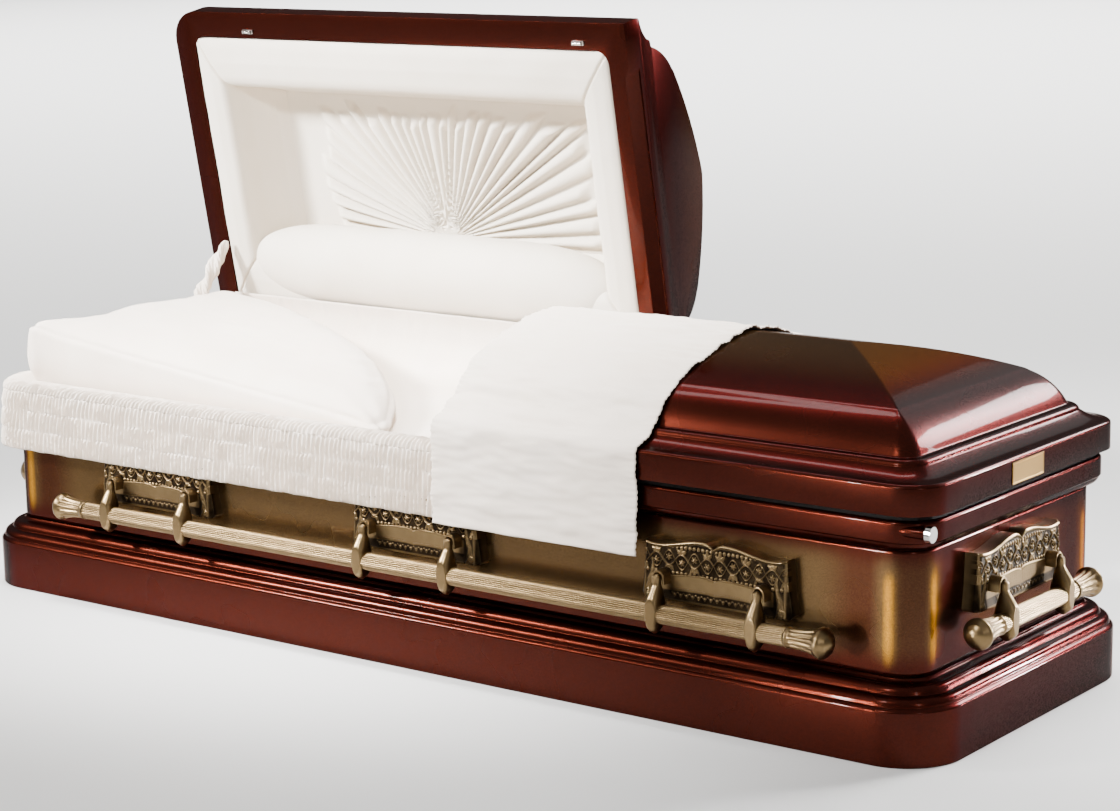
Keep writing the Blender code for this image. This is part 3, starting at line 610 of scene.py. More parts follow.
def place_points(piece: bpy.types.Object, points: Array) -> None:
    """Write a mesh's vertices from rows."""
    piece.data.vertices.foreach_set("co", np.asarray(points, float).ravel())
    piece.data.update()


def dent(piece: bpy.types.Object, rule: Callable[[Array], Array]) -> None:
    """Lift and sink a piece's points.

    Args:
        piece: The piece.
        rule: Gives each row of coordinates its rise.
    """
    points = coordinates(piece)
    points[:, 2] += rule(points)
    place_points(piece, points)


def tint(piece: bpy.types.Object, name: str, rule: Callable[[Array], Array]) -> None:
    """Store a value at each vertex for a finish to read.

    Args:
        piece: The piece.
        name: The attribute's name.
        rule: Gives a value for each row of coordinates.
    """
    values = np.asarray(rule(coordinates(piece)), np.float32)
    attribute = piece.data.attributes.new(name, "FLOAT", "POINT")
    attribute.data.foreach_set("value", values)


def swing_open(piece: bpy.types.Object) -> bpy.types.Object:
    """Turn a piece that was shaped on the closed head lid to the open lid's place.

    Args:
        piece: The piece.

    Returns:
        The same piece.
    """
    turn = Matrix.Translation(HINGE) @ Matrix.Rotation(OPEN_TURN, 4, "X") @ Matrix.Translation(-HINGE)
    piece.data.transform(turn)
    return piece


def lid_spot(x: float, y: float, z: float) -> Vector:
    """Where a point of the closed head lid is once the lid stands open."""
    return HINGE + Matrix.Rotation(OPEN_TURN, 4, "X") @ (Vector((x, y, z)) - HINGE)


def coat(piece: bpy.types.Object, finish: "Finish") -> None:
    """Give a piece its finish and nothing else."""
    piece.data.materials.clear()
    piece.data.materials.append(finish.material())


def dress(piece: bpy.types.Object, finish: "Finish", body: str, *nodes: str) -> None:
    """Give a piece its finish and its body.

    Args:
        piece: The piece.
        finish: Its finish.
        body: The moving body that carries it.
        *nodes: The CAD nodes that it stands for.
    """
    coat(piece, finish)
    if nodes:
        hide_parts(*nodes)
    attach(piece, body)
    LOG.info("%s on %s", piece.name, body)


# Finishes --------------------------------------------------------------------------------------------


def add(tree: bpy.types.NodeTree, kind: str, values: dict | None = None, links: dict | None = None,
        **settings: object) -> bpy.types.Node:
    """Add a node.

    Args:
        tree: The material's nodes.
        kind: The node's type.
        values: Input values by socket.
        links: Output sockets by the input that each feeds.
        **settings: Properties of the node.

    Returns:
        The node.
    """
    node = tree.nodes.new(kind)
    for key, value in settings.items():
        setattr(node, key, value)
    for key, value in (values or {}).items():
        node.inputs[key].default_value = value
    for key, socket in (links or {}).items():
        tree.links.new(socket, node.inputs[key])
    return node


@dataclass(frozen=True)
class Finish:
    """A finish with its name, its slot in the record and the values all over its surface."""

    name: str
    slot: str

    def sockets(self) -> dict:
        """Values that hold all over the surface."""
        return {}

    def detail(self, tree: bpy.types.NodeTree, shader: bpy.types.Node) -> None:
        """Add what varies over the surface.

        Args:
            tree: The material's nodes.
            shader: The shader that they feed.
        """

    def material(self) -> bpy.types.Material:
        """Make the material, or find it where it was made before.

        Returns:
            The material.
        """
        found = bpy.data.materials.get(self.name)
        if found:
            return found
        made = bpy.data.materials.new(self.name)
        made.use_nodes = True
        shader = made.node_tree.nodes["Principled BSDF"]
        for key, value in self.sockets().items():
            shader.inputs[key].default_value = value
        self.detail(made.node_tree, shader)
        return made


@dataclass(frozen=True)
class CandyPaint(Finish):
    """Metallic basecoat sprayed copper red and shaded to gold, with painted gold highlights at the corners
    and hips, under a polished clear coat.

    Gives the eye a deep glow with fine flake under a wet, mirror-like skin.
    """

    red: str = "#38130b"
    gold: str = "#57432a"
    # colour of the painted highlights, bright gold lines that stand in for lamp reflections
    painted_highlight: str = "#bd8326"
    flake_mm: float = 1.6

    def sockets(self) -> dict:
        """Metal flake under a hard gloss coat."""
        return {"Metallic": 0.9, "Specular Tint": linear("#8a5a42"), "Coat Weight": 0.09,
                "Coat Roughness": 0.05, "Coat IOR": 1.5}

    def detail(self, tree: bpy.types.NodeTree, shader: bpy.types.Node) -> None:
        """Shade from red to gold, mix in painted highlights of bright gold, and flake drawn as coarse as the
        picture can show.

        Args:
            tree: The material's nodes.
            shader: The shader that they feed.
        """
        place = add(tree, "ShaderNodeTexCoord").outputs["Object"]
        shade = add(tree, "ShaderNodeAttribute", attribute_name="shade").outputs["Fac"]
        flake = add(tree, "ShaderNodeTexVoronoi", {"Scale": 1000.0 / self.flake_mm}, {"Vector": place})
        cloud = add(tree, "ShaderNodeTexNoise", {"Scale": 7.0, "Detail": 2.0}, {"Vector": place})
        tone = add(tree, "ShaderNodeMix", {6: linear(self.red), 7: linear(self.gold)}, {0: shade},
                   data_type="RGBA")
        # painted highlight: mix the bright gold in where the attribute says
        line = add(tree, "ShaderNodeAttribute", attribute_name="painted_highlight").outputs["Fac"]
        tone = add(tree, "ShaderNodeMix", {7: linear(self.painted_highlight)}, {0: line, 6: tone.outputs[2]},
                   data_type="RGBA")
        grain = add(tree, "ShaderNodeMapRange", {"To Min": 0.72, "To Max": 1.28},
                    {"Value": flake.outputs["Color"]})
        spark = add(tree, "ShaderNodeMix", {0: 1.0}, {6: tone.outputs[2], 7: grain.outputs[0]},
                    data_type="RGBA", blend_type="MULTIPLY")
        tree.links.new(spark.outputs[2], shader.inputs["Base Color"])
        gloss = add(tree, "ShaderNodeMapRange", {"To Min": 0.22, "To Max": 0.31},
                    {"Value": cloud.outputs["Fac"]})
        tree.links.new(gloss.outputs[0], shader.inputs["Roughness"])
        bump = add(tree, "ShaderNodeBump", {"Strength": 0.12, "Distance": 0.0004},
                   {"Height": flake.outputs["Distance"]})
        tree.links.new(bump.outputs[0], shader.inputs["Normal"])


@dataclass(frozen=True)
class AntiqueBronze(Finish):
    """Cast metal, bronze plated, blackened and rubbed back, so that only the hollows stay dark."""

    light: str = "#7b6647"
    dark: str = "#1a120b"

    def sockets(self) -> dict:
        """A plated metal."""
        return {"Metallic": 1.0}

    def detail(self, tree: bpy.types.NodeTree, shader: bpy.types.Node) -> None:
        """Dark hollows, a cloudy rub and fine brush lines.

        Args:
            tree: The material's nodes.
            shader: The shader that they feed.
        """
        place = add(tree, "ShaderNodeTexCoord").outputs["Object"]
        hollow = add(tree, "ShaderNodeAttribute", attribute_name="hollow").outputs["Fac"]
        cloud = add(tree, "ShaderNodeTexNoise", {"Scale": 55.0, "Detail": 4.0}, {"Vector": place})
        rub = add(tree, "ShaderNodeMapRange", {"To Min": -0.12, "To Max": 0.30},
                  {"Value": cloud.outputs["Fac"]})
        deep = add(tree, "ShaderNodeMath", None, {0: hollow, 1: rub.outputs[0]}, operation="ADD",
                   use_clamp=True)
        tone = add(tree, "ShaderNodeMix", {6: linear(self.light), 7: linear(self.dark)},
                   {0: deep.outputs[0]}, data_type="RGBA")
        tree.links.new(tone.outputs[2], shader.inputs["Base Color"])
        gloss = add(tree, "ShaderNodeMapRange", {"To Min": 0.30, "To Max": 0.62},
                    {"Value": deep.outputs[0]})
        tree.links.new(gloss.outputs[0], shader.inputs["Roughness"])
        grain = add(tree, "ShaderNodeTexNoise", {"Scale": 700.0, "Detail": 2.0}, {"Vector": place})
        bump = add(tree, "ShaderNodeBump", {"Strength": 0.10, "Distance": 0.0003},
                   {"Height": grain.outputs["Fac"]})
        tree.links.new(bump.outputs[0], shader.inputs["Normal"])


@dataclass(frozen=True)
class IvoryCloth(Finish):
    """Polyester crepe or velvet, which scatters light and shows a fine crinkle or a soft nap."""

    weave: Weave = Weave.CREPE
    colour: str = "#f5e9dc"
    shadow: str = "#ecdccb"

    def sockets(self) -> dict:
        """Cloth with a soft bright edge."""
        return {"Metallic": 0.0, "Roughness": 0.88, "Sheen Weight": 0.25, "Sheen Roughness": 0.45,
                "Specular IOR Level": 0.25}

    def detail(self, tree: bpy.types.NodeTree, shader: bpy.types.Node) -> None:
        """A crinkle of 2.5 mm for crepe, drawn coarse to show, or a nap of 1 mm for velvet.

        Args:
            tree: The material's nodes.
            shader: The shader that they feed.
        """
        crepe = self.weave is Weave.CREPE
        place = add(tree, "ShaderNodeTexCoord").outputs["Object"]
        stretch = add(tree, "ShaderNodeMapping", {"Scale": (1.0, 1.0, 0.35 if crepe else 1.0)},
                      {"Vector": place})
        crinkle = add(tree, "ShaderNodeTexNoise", {"Scale": 400.0 if crepe else 1000.0, "Detail": 3.0},
                      {"Vector": stretch.outputs[0]})
        cloud = add(tree, "ShaderNodeTexNoise", {"Scale": 9.0, "Detail": 2.0}, {"Vector": place})
        tone = add(tree, "ShaderNodeMix", {6: linear(self.colour), 7: linear(self.shadow)},
                   {0: cloud.outputs["Fac"]}, data_type="RGBA")
        tree.links.new(tone.outputs[2], shader.inputs["Base Color"])
        bump = add(tree, "ShaderNodeBump", {"Strength": 0.35 if crepe else 0.12, "Distance": 0.0012},
                   {"Height": crinkle.outputs["Fac"]})
        tree.links.new(bump.outputs[0], shader.inputs["Normal"])


@dataclass(frozen=True)
class Metal(Finish):
    """A plain worked metal: plated, rolled or polished, with fine lines along it."""

    colour: str = "#b8b8b8"
    gloss: tuple[float, float] = (0.2, 0.35)
    lines: tuple[float, float, float] = (20.0, 900.0, 900.0)

    def sockets(self) -> dict:
        """Bare metal."""
        return {"Metallic": 1.0, "Base Color": linear(self.colour)}

    def detail(self, tree: bpy.types.NodeTree, shader: bpy.types.Node) -> None:
        """Drawn lines in the gloss and a faint bump.

        Args:
            tree: The material's nodes.
            shader: The shader that they feed.
        """
        place = add(tree, "ShaderNodeTexCoord").outputs["Object"]
        drawn = add(tree, "ShaderNodeMapping", {"Scale": self.lines}, {"Vector": place})
        noise = add(tree, "ShaderNodeTexNoise", {"Scale": 1.0, "Detail": 3.0}, {"Vector": drawn.outputs[0]})
        gloss = add(tree, "ShaderNodeMapRange", {"To Min": self.gloss[0], "To Max": self.gloss[1]},
                    {"Value": noise.outputs["Fac"]})
        tree.links.new(gloss.outputs[0], shader.inputs["Roughness"])
        bump = add(tree, "ShaderNodeBump", {"Strength": 0.05, "Distance": 0.0002},
                   {"Height": noise.outputs["Fac"]})
        tree.links.new(bump.outputs[0], shader.inputs["Normal"])


@dataclass(frozen=True)
class Seal(Finish):
    """Extruded black rubber with a dull, faintly grainy skin."""

    def sockets(self) -> dict:
        """Matte rubber."""
        return {"Base Color": linear("#100d0b"), "Specular IOR Level": 0.2}

    def detail(self, tree: bpy.types.NodeTree, shader: bpy.types.Node) -> None:
        """Grain in the gloss.

        Args:
            tree: The material's nodes.
            shader: The shader that they feed.
        """
        place = add(tree, "ShaderNodeTexCoord").outputs["Object"]
        noise = add(tree, "ShaderNodeTexNoise", {"Scale": 300.0}, {"Vector": place})
        gloss = add(tree, "ShaderNodeMapRange", {"To Min": 0.75, "To Max": 0.95},
                    {"Value": noise.outputs["Fac"]})
        tree.links.new(gloss.outputs[0], shader.inputs["Roughness"])


PAINT = CandyPaint("candy_copper_enamel", "copper_paint")
BRONZE = AntiqueBronze("antique_bronze_plate", "antique_bronze")
CREPE = IvoryCloth("ivory_crepe", "ivory_cloth", Weave.CREPE)
VELVET = IvoryCloth("ivory_velvet", "ivory_cloth", Weave.VELVET, "#f4ebdd", "#e9decd")
ZINC = Metal("zinc_plated_steel", "zinc_steel", "#9c9d9f", (0.32, 0.5))
CHROME = Metal("bright_nickel_plate", "chrome", "#d0cdc8", (0.12, 0.24), (300.0, 300.0, 300.0))
BRASS = Metal("satin_brass_sheet", "polished_brass", "#80612a", (0.24, 0.4), (900.0, 40.0, 900.0))
RUBBER = Seal("extruded_rubber", "black_rubber")


# Sub-assemblies --------------------------------------------------------------------------------------


@dataclass
class Body:
    """The plinth, the panel, the rim and what lies hidden in them."""

    panel_low: float = 0.1313
    panel_high: float = 0.335
    panel_rows: int = 28
    gold_band: tuple[float, float, float, float] = (0.140, 0.185, 0.295, 0.333)
    # where the painted corner highlights run, measured from the plan's sharp corner, and their width
    highlight_at: float = 0.051
    highlight_width: float = 0.0068
    boss: tuple[float, float] = (-0.314, 0.36975)
    boss_points: int = 32

    def build(self) -> None:
        """Build and dress the whole body."""
        self.plinth()
        self.panel()
        self.rim()
        self.hidden()

    def plinth(self) -> None:
        """The base moulding."""
        rows = [plan_ring(inset, height, body_radius, 14) for inset, height in plinth_section()]
        piece = thicken(skin("plinth_moulding", rows, inside=Vector((0.0, 0.0, 0.05))), SHEET)
        dress(piece, PAINT, "casket", "base_moulding")

    def panel(self) -> None:
        """The four walls, shaded gold in the middle of each, with a painted highlight down each edge of every
        round corner.
        """
        heights = np.linspace(self.panel_low, self.panel_high, self.panel_rows)
        rows = [plan_ring(PANEL_INSET, height, body_radius, 14, (180, 60)) for height in heights]
        piece = skin("body_panel", rows, inside=Vector((0.0, 0.0, 0.25)))
        tint(piece, "shade", self.panel_shade)
        # painted highlights down the round corners
        tint(piece, "painted_highlight", self.corner_painted_highlight)
        thicken(piece, SHEET)
        dress(piece, PAINT, "casket", "body_shell")

    def from_corner(self, points: Array) -> Array:
        """Measure from the sharp corner of the panel's plan.

        Args:
            points: Rows of coordinates.

        Returns:
            The distance of each row.
        """
        along = HALF_LENGTH - PANEL_INSET - np.abs(points[:, 0])
        across = HALF_WIDTH - PANEL_INSET - np.abs(points[:, 1])
        return np.hypot(np.maximum(along, 0.0), np.maximum(across, 0.0))

    def panel_shade(self, points: Array) -> Array:
        """Shade gold in the middle, copper at the top, bottom and beside each corner, and darken the middle
        of each round corner with painted shade.

        Args:
            points: Rows of coordinates.

        Returns:
            The share of gold at each row.
        """
        low, rise, fall, high = self.gold_band
        upright = ease(low, rise, points[:, 2]) * (1.0 - ease(fall, high, points[:, 2]))
        away = self.from_corner(points)
        two_tone_and_shade = 1.0 - 0.75 * ease(0.060, 0.085, away) * (1.0 - ease(0.11, 0.19, away))
        # painted shade: less gold in the middle of each round corner, between the painted highlights
        two_tone_and_shade *= 0.35 + 0.65 * ease(0.030, 0.046, away)
        return upright * two_tone_and_shade

    def corner_painted_highlight(self, points: Array) -> Array:
        """Paint a highlight, a bright line of gold, down each edge of a round corner, where a lamp's
        reflection would run.

        Args:
            points: Rows of coordinates.

        Returns:
            The painted highlight's strength at each row.
        """
        low, rise, fall, high = self.gold_band
        upright = ease(low, rise, points[:, 2]) * (1.0 - ease(fall - 0.02, high - 0.03, points[:, 2]))
        return upright * bell(self.from_corner(points) - self.highlight_at, self.highlight_width)

    def rim(self) -> None:
        """The rim with the memorial tube's boss."""
        rows = [plan_ring(inset, height, rim_radius, 12) for inset, height in rim_section()]
        moulding = thicken(skin("rim_moulding", rows, inside=Vector((0.0, 0.0, 0.36))), SHEET)
        turn = circle(self.boss_points)
        rows = [hoop(turn, (x, *self.boss), radius, radius)
                for x, radius in ((0.985, 0.0086), (1.0335, 0.0090), (1.0352, 0.0082))]
        dress(skin("tube_boss_round", rows, capped=True), PAINT, "casket")
        dress(moulding, PAINT, "casket", "body_rim")

    def hidden(self) -> None:
        """Finishes of the nodes that are right as they are."""
        leaves = [f"{end}_hinge_{part}_leaf" for end in ("head", "foot") for part in ("body", "lid")]
        for names, finish in ((["bottom_pan"], PAINT), (["lid_gasket"], RUBBER), (["tube_cap"], CHROME),
                              (["bed_frame", *leaves], ZINC)):
            for name in names:
                coat(bpy.data.objects[name], finish)


@dataclass
class Lid:
    """One lid: crown, rim, flange and header in one pressed and welded sheet."""

    side: Side
    body: str
    flange: float = 0.052
    header: float = 0.0455
    rabbet: tuple[float, float] = (0.013, 0.034)
    rabbet_point: float = 0.045
    mouth_radius: float = 0.030
    gold_from: float = 0.548
    gold_to: float = 0.590
    # strength of the painted highlight on the end slope
    hip_highlight_share: float = 0.26

    @property
    def label(self) -> str:
        """The word that starts the names of this lid's pieces."""
        return self.side.name.lower()

    def mouth(self) -> tuple[float, float, float, float]:
        """Find the opening inside the flange.

        Returns:
            Its least and greatest x, then its least and greatest y.
        """
        sign = self.side.value
        end = sign * (HALF_LENGTH - LID_INSET - self.flange)
        start = SPLIT_X + sign * self.header
        half = HALF_WIDTH - LID_INSET - self.flange
        return min(end, start), max(end, start), -half, half

    def solid(self, name: str, section: Section, split: float) -> bpy.types.Object:
        """Fill the space under a section and cut it off at the header.

        Args:
            name: The solid's name.
            section: The lid's section.
            split: The x of the header's face.

        Returns:
            A closed solid.
        """
        rows = [plan_ring(inset, height, lid_radius, 8) for inset, height in section]
        made = skin(name, rows, capped=True)
        with reworked(made) as bm:
            parts = bm.verts[:] + bm.edges[:] + bm.faces[:]
            bmesh.ops.bisect_plane(bm, geom=parts, dist=1e-6, plane_co=(split, 0.0, 0.0),
                                   plane_no=(-self.side.value, 0.0, 0.0), clear_outer=True)
            close_holes(bm)
            face_out(bm, None)
        return made

    def prism(self, name: str, grow: float) -> bpy.types.Object:
        """Shape the rabbet's wedge along the header's lower edge, with pointed ends.

        Args:
            name: The wedge's name.
            grow: How far it stands beyond the rabbet's own faces.

        Returns:
            A closed solid.
        """
        sign = self.side.value
        face = SPLIT_X + sign * HALF_SPLIT
        deep, high = self.rabbet[0] + grow, self.rabbet[1] + grow
        half = HALF_WIDTH - LID_INSET - 0.058 + 2 * grow
        rows = []
        for depth, height in ((deep, SEAT_Z - 0.01), (0.3 * deep, SEAT_Z + high)):
            out, back = face - sign * 0.01, face + sign * depth
            rows.append([(out, -half, height), (back, self.rabbet_point - half, height),
                         (back, half - self.rabbet_point, height), (out, half, height)])
        return skin(name, rows, capped=True)

    def build(self) -> None:
        """Press the lid, open its flange, shade its crown and paint a highlight on its slope at the casket's
        end.
        """
        sign = self.side.value
        section = lid_section()
        inner = offset(section, SHEET)
        inner[0] = (inner[0][0], SEAT_Z + SHEET)
        split = SPLIT_X + sign * HALF_SPLIT
        lid = self.solid(f"{self.label}_lid_pressing", section, split)
        hollow = self.solid("lid_hollow", inner, split + sign * SHEET)
        carve(hollow, self.prism("rabbet_wall", SHEET))
        carve(lid, hollow)
        carve(lid, self.prism("rabbet", 0.0))
        low_x, high_x, low_y, high_y = self.mouth()
        flat = rounded_box((low_x, low_y), (high_x, high_y), self.mouth_radius, 8)
        rows = [np.column_stack([flat, np.full(len(flat), SEAT_Z + step)]) for step in (-0.005, 0.005)]
        carve(lid, skin("mouth", rows, capped=True))
        edge = lid.modifiers.new("edge", "BEVEL")
        edge.width = 0.0008
        edge.segments = 2
        edge.limit_method = "ANGLE"
        edge.angle_limit = math.radians(40.0)
        settle(lid)
        smooth_to(lid.data, 28.0)
        tint(lid, "shade", self.crown_shade)
        # painted highlight on the upper slope at the casket's end
        tint(lid, "painted_highlight", self.hip_painted_highlight)
        if self.side is Side.HEAD:
            swing_open(lid)
        dress(lid, PAINT, self.body, f"{self.label}_lid")

    def crown_shade(self, points: Array) -> Array:
        """Gold on top of the crown, copper below."""
        return 0.9 * ease(self.gold_from, self.gold_to, points[:, 2])

    def hip_painted_highlight(self, points: Array) -> Array:
        """Paint a highlight on the upper part of the slope at the casket's end, where a lamp's reflection
        would brighten it.

        Args:
            points: Rows of coordinates.

        Returns:
            The share of painted highlight at each row.
        """
        along = HALF_LENGTH - np.abs(points[:, 0])
        across = HALF_WIDTH - np.abs(points[:, 1])
        return self.hip_highlight_share * ease(0.535, 0.570, points[:, 2]) * ease(-0.004, 0.004, across - along)


@dataclass
class LidLining:
    """The padded tray inside a lid, with its panel at the back of the recess."""

    lid: Lid
    roll: float = 0.085
    recess: float = 0.112
    lean: float = 0.030
    pleats: int = 33
    fan: tuple[float, float] = (-0.475, 0.150)
    reach: tuple[float, float, float, float] = (0.80, 0.85, 1.18, 1.10)
    piping: float = 0.0045
    pleat_height: float = 0.0210
    bolster_half: tuple[float, float] = (0.088, 0.064)
    bolster_points: int = 40

    def build(self) -> None:
        """Build the rolls, the panel and, in the head lid, the bolster."""
        self.rolls()
        self.panel()
        if self.lid.side is Side.HEAD:
            self.bolster()

    def limits(self, inset: float) -> tuple[tuple[float, float], tuple[float, float]]:
        """Find the tray's corners at an inset, which runs wider along the front and the hinge.

        Args:
            inset: How far inside the mouth.

        Returns:
            Its least x and y, and its greatest.
        """
        low_x, high_x, low_y, high_y = self.lid.mouth()
        head, foot, front, hinge = (share * inset for share in self.reach)
        head += self.lean * max(inset - 0.090, 0.0) / 0.026
        return (low_x + head, low_y + front), (high_x - foot, high_y - hinge)

    def finish(self, piece: bpy.types.Object, cloth: Finish, *nodes: str) -> None:
        """Swing a piece with the head lid and dress it.

        Args:
            piece: The piece, as shaped on the closed lid.
            cloth: Its finish.
            *nodes: The CAD nodes that it stands for.
        """
        if self.lid.side is Side.HEAD:
            swing_open(piece)
        dress(piece, cloth, self.lid.body, *nodes)

    def rolls(self) -> None:
        """A band of stuffed velvet round the opening that turns down into the walls."""
        deep = SEAT_Z + self.recess
        face = [(0.0016, SEAT_Z + 0.006), (0.004, SEAT_Z + 0.0005), (0.016, SEAT_Z - 0.0040),
                (0.045, SEAT_Z - 0.0065), (0.072, SEAT_Z - 0.0035), (0.083, SEAT_Z + 0.003),
                (0.090, SEAT_Z + 0.014), (0.096, SEAT_Z + 0.045), (0.106, SEAT_Z + 0.080),
                (0.116, deep - 0.004)]
        back = [(0.122, deep + 0.004), (0.080, SEAT_Z + 0.042), (0.012, SEAT_Z + 0.030)]
        section = np.concatenate([resample(soften(face, 0.006), 60), back])
        rows = []
        for inset, height in section:
            flat, seam = self.mitred(*self.limits(inset))
            rows.append(np.column_stack([flat, height + self.piping * bell(seam, 0.0035)]))
        piece = skin(f"{self.lid.label}_lid_rolls", rows, loop=True, sharp=60.0)
        dent(piece, lambda at: np.where(at[:, 2] < SEAT_Z + 0.01, wobble(at, 0.09, 3.0) * 0.0016, 0.0))
        self.finish(piece, VELVET, f"{self.lid.label}_lid_lining")

    def mitred(self, low: tuple, high: tuple) -> tuple[Array, Array]:
        """Draw a sharp rectangle with points crowded towards its corners.

        Args:
            low: Its least x and y.
            high: Its greatest x and y.

        Returns:
            The points, and how far each is from a corner.
        """
        corners = np.array([(high[0], high[1]), (low[0], high[1]), (low[0], low[1]), (high[0], low[1])])
        flat, seam = [], []
        for quarter, here in enumerate(corners):
            run = corners[(quarter + 1) % 4] - here
            steps = 100 if quarter % 2 == 0 else 60
            share = 0.5 - 0.5 * np.cos(math.pi * np.arange(steps) / steps)
            flat.append(here + share[:, None] * run)
            seam.append(np.minimum(share, 1.0 - share) * np.linalg.norm(run))
        return np.concatenate(flat), np.concatenate(seam)

    def panel(self) -> None:
        """The recess's cloth: a sunburst of tapered pleats at the head, plain and slack at the foot."""
        (low_x, low_y), (high_x, high_y) = self.limits(0.114)
        sunburst = self.lid.side is Side.HEAD
        wide, tall = (296, 164) if sunburst else (60, 30)
        grid_x, grid_y = np.meshgrid(np.linspace(low_x, high_x, wide), np.linspace(low_y, high_y, tall))
        height = np.full_like(grid_x, SEAT_Z + self.recess - 0.002)
        edge = np.minimum.reduce([grid_x - low_x, high_x - grid_x, grid_y - low_y, high_y - grid_y])
        height += 0.009 * (1.0 - ease(0.0015, 0.0065, edge))
        if sunburst:
            height -= self.pleat_depth(grid_x, grid_y, (low_x, high_x, low_y, high_y))
        rows = np.stack([grid_x, grid_y, height], axis=2)
        piece = skin(f"{self.lid.label}_lid_panel", rows, ring=False,
                     inside=Vector((grid_x.mean(), 0.0, 1.0)), sharp=80.0)
        thicken(piece, CLOTH)
        self.finish(piece, VELVET)

    def pleat_depth(self, x: Array, y: Array, box: tuple[float, float, float, float]) -> Array:
        """Work out how far the sunburst stands out: pleats that widen outwards and then run out.

        Args:
            x: Grid of x.
            y: Grid of y.
            box: The panel's least and greatest x, then its least and greatest y.

        Returns:
            The depth at each grid point.
        """
        random = np.random.default_rng(SEED)
        out_x, out_y = x - self.fan[0], self.fan[1] - y
        radius = np.hypot(out_x, out_y)
        turn = np.arctan2(out_y, out_x)
        share = np.clip(turn / math.pi, 0.0, 1.0) * self.pleats
        jitter = np.interp(share, np.arange(self.pleats + 1), random.uniform(-0.22, 0.22, self.pleats + 1))
        share = share + jitter
        cell = np.clip(share.astype(int), 0, self.pleats - 1)
        edge_x = np.where(out_x > 0, box[1] - 0.014 - self.fan[0], self.fan[0] - box[0] - 0.075)
        limit = np.minimum(edge_x / np.maximum(np.abs(np.cos(turn)), 1e-3),
                           (self.fan[1] - box[2] - 0.012) / np.maximum(np.sin(turn), 1e-3))
        limit = limit * random.uniform(0.88, 1.0, self.pleats)[cell]
        ridge = np.clip((np.abs(np.sin(math.pi * share)) - 0.30) / 0.70, 0.0, 1.0) ** 0.55
        ridge *= random.uniform(0.65, 1.0, self.pleats)[cell]
        rise = ease(0.0, 0.055, radius) * (0.45 + 0.55 * ease(0.05, 0.26, radius))
        rise *= 1.0 - ease(0.91, 1.0, radius / limit)
        hub = 0.004 * bell(radius, 0.05)
        return (self.pleat_height * ridge * rise + hub) * ease(-0.03, 0.03, out_y)

    def bolster(self) -> None:
        """The puffed roll along the hinge side of the head lid."""
        low_x, high_x, _, high_y = self.lid.mouth()
        start, end = low_x + 0.045, high_x - 0.060
        centre_y, centre_z = high_y - 0.084, SEAT_Z + 0.034
        half_y, half_z = self.bolster_half
        turn = circle(self.bolster_points)
        rows = []
        for share in np.sin(np.linspace(-0.5, 0.5, 90) * math.pi) * 0.5 + 0.5:
            size = max((1.0 - abs(2.0 * share - 1.0) ** 5) ** 0.5, 0.02)
            rows.append(hoop(turn, (start + (end - start) * share, centre_y, centre_z), half_y * size,
                             half_z * size))
        piece = skin("head_lid_bolster", rows, capped=True, sharp=70.0)
        dent(piece, lambda at: wobble(at, 0.12, 7.0) * 0.003)
        self.finish(piece, VELVET)
        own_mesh(piece)


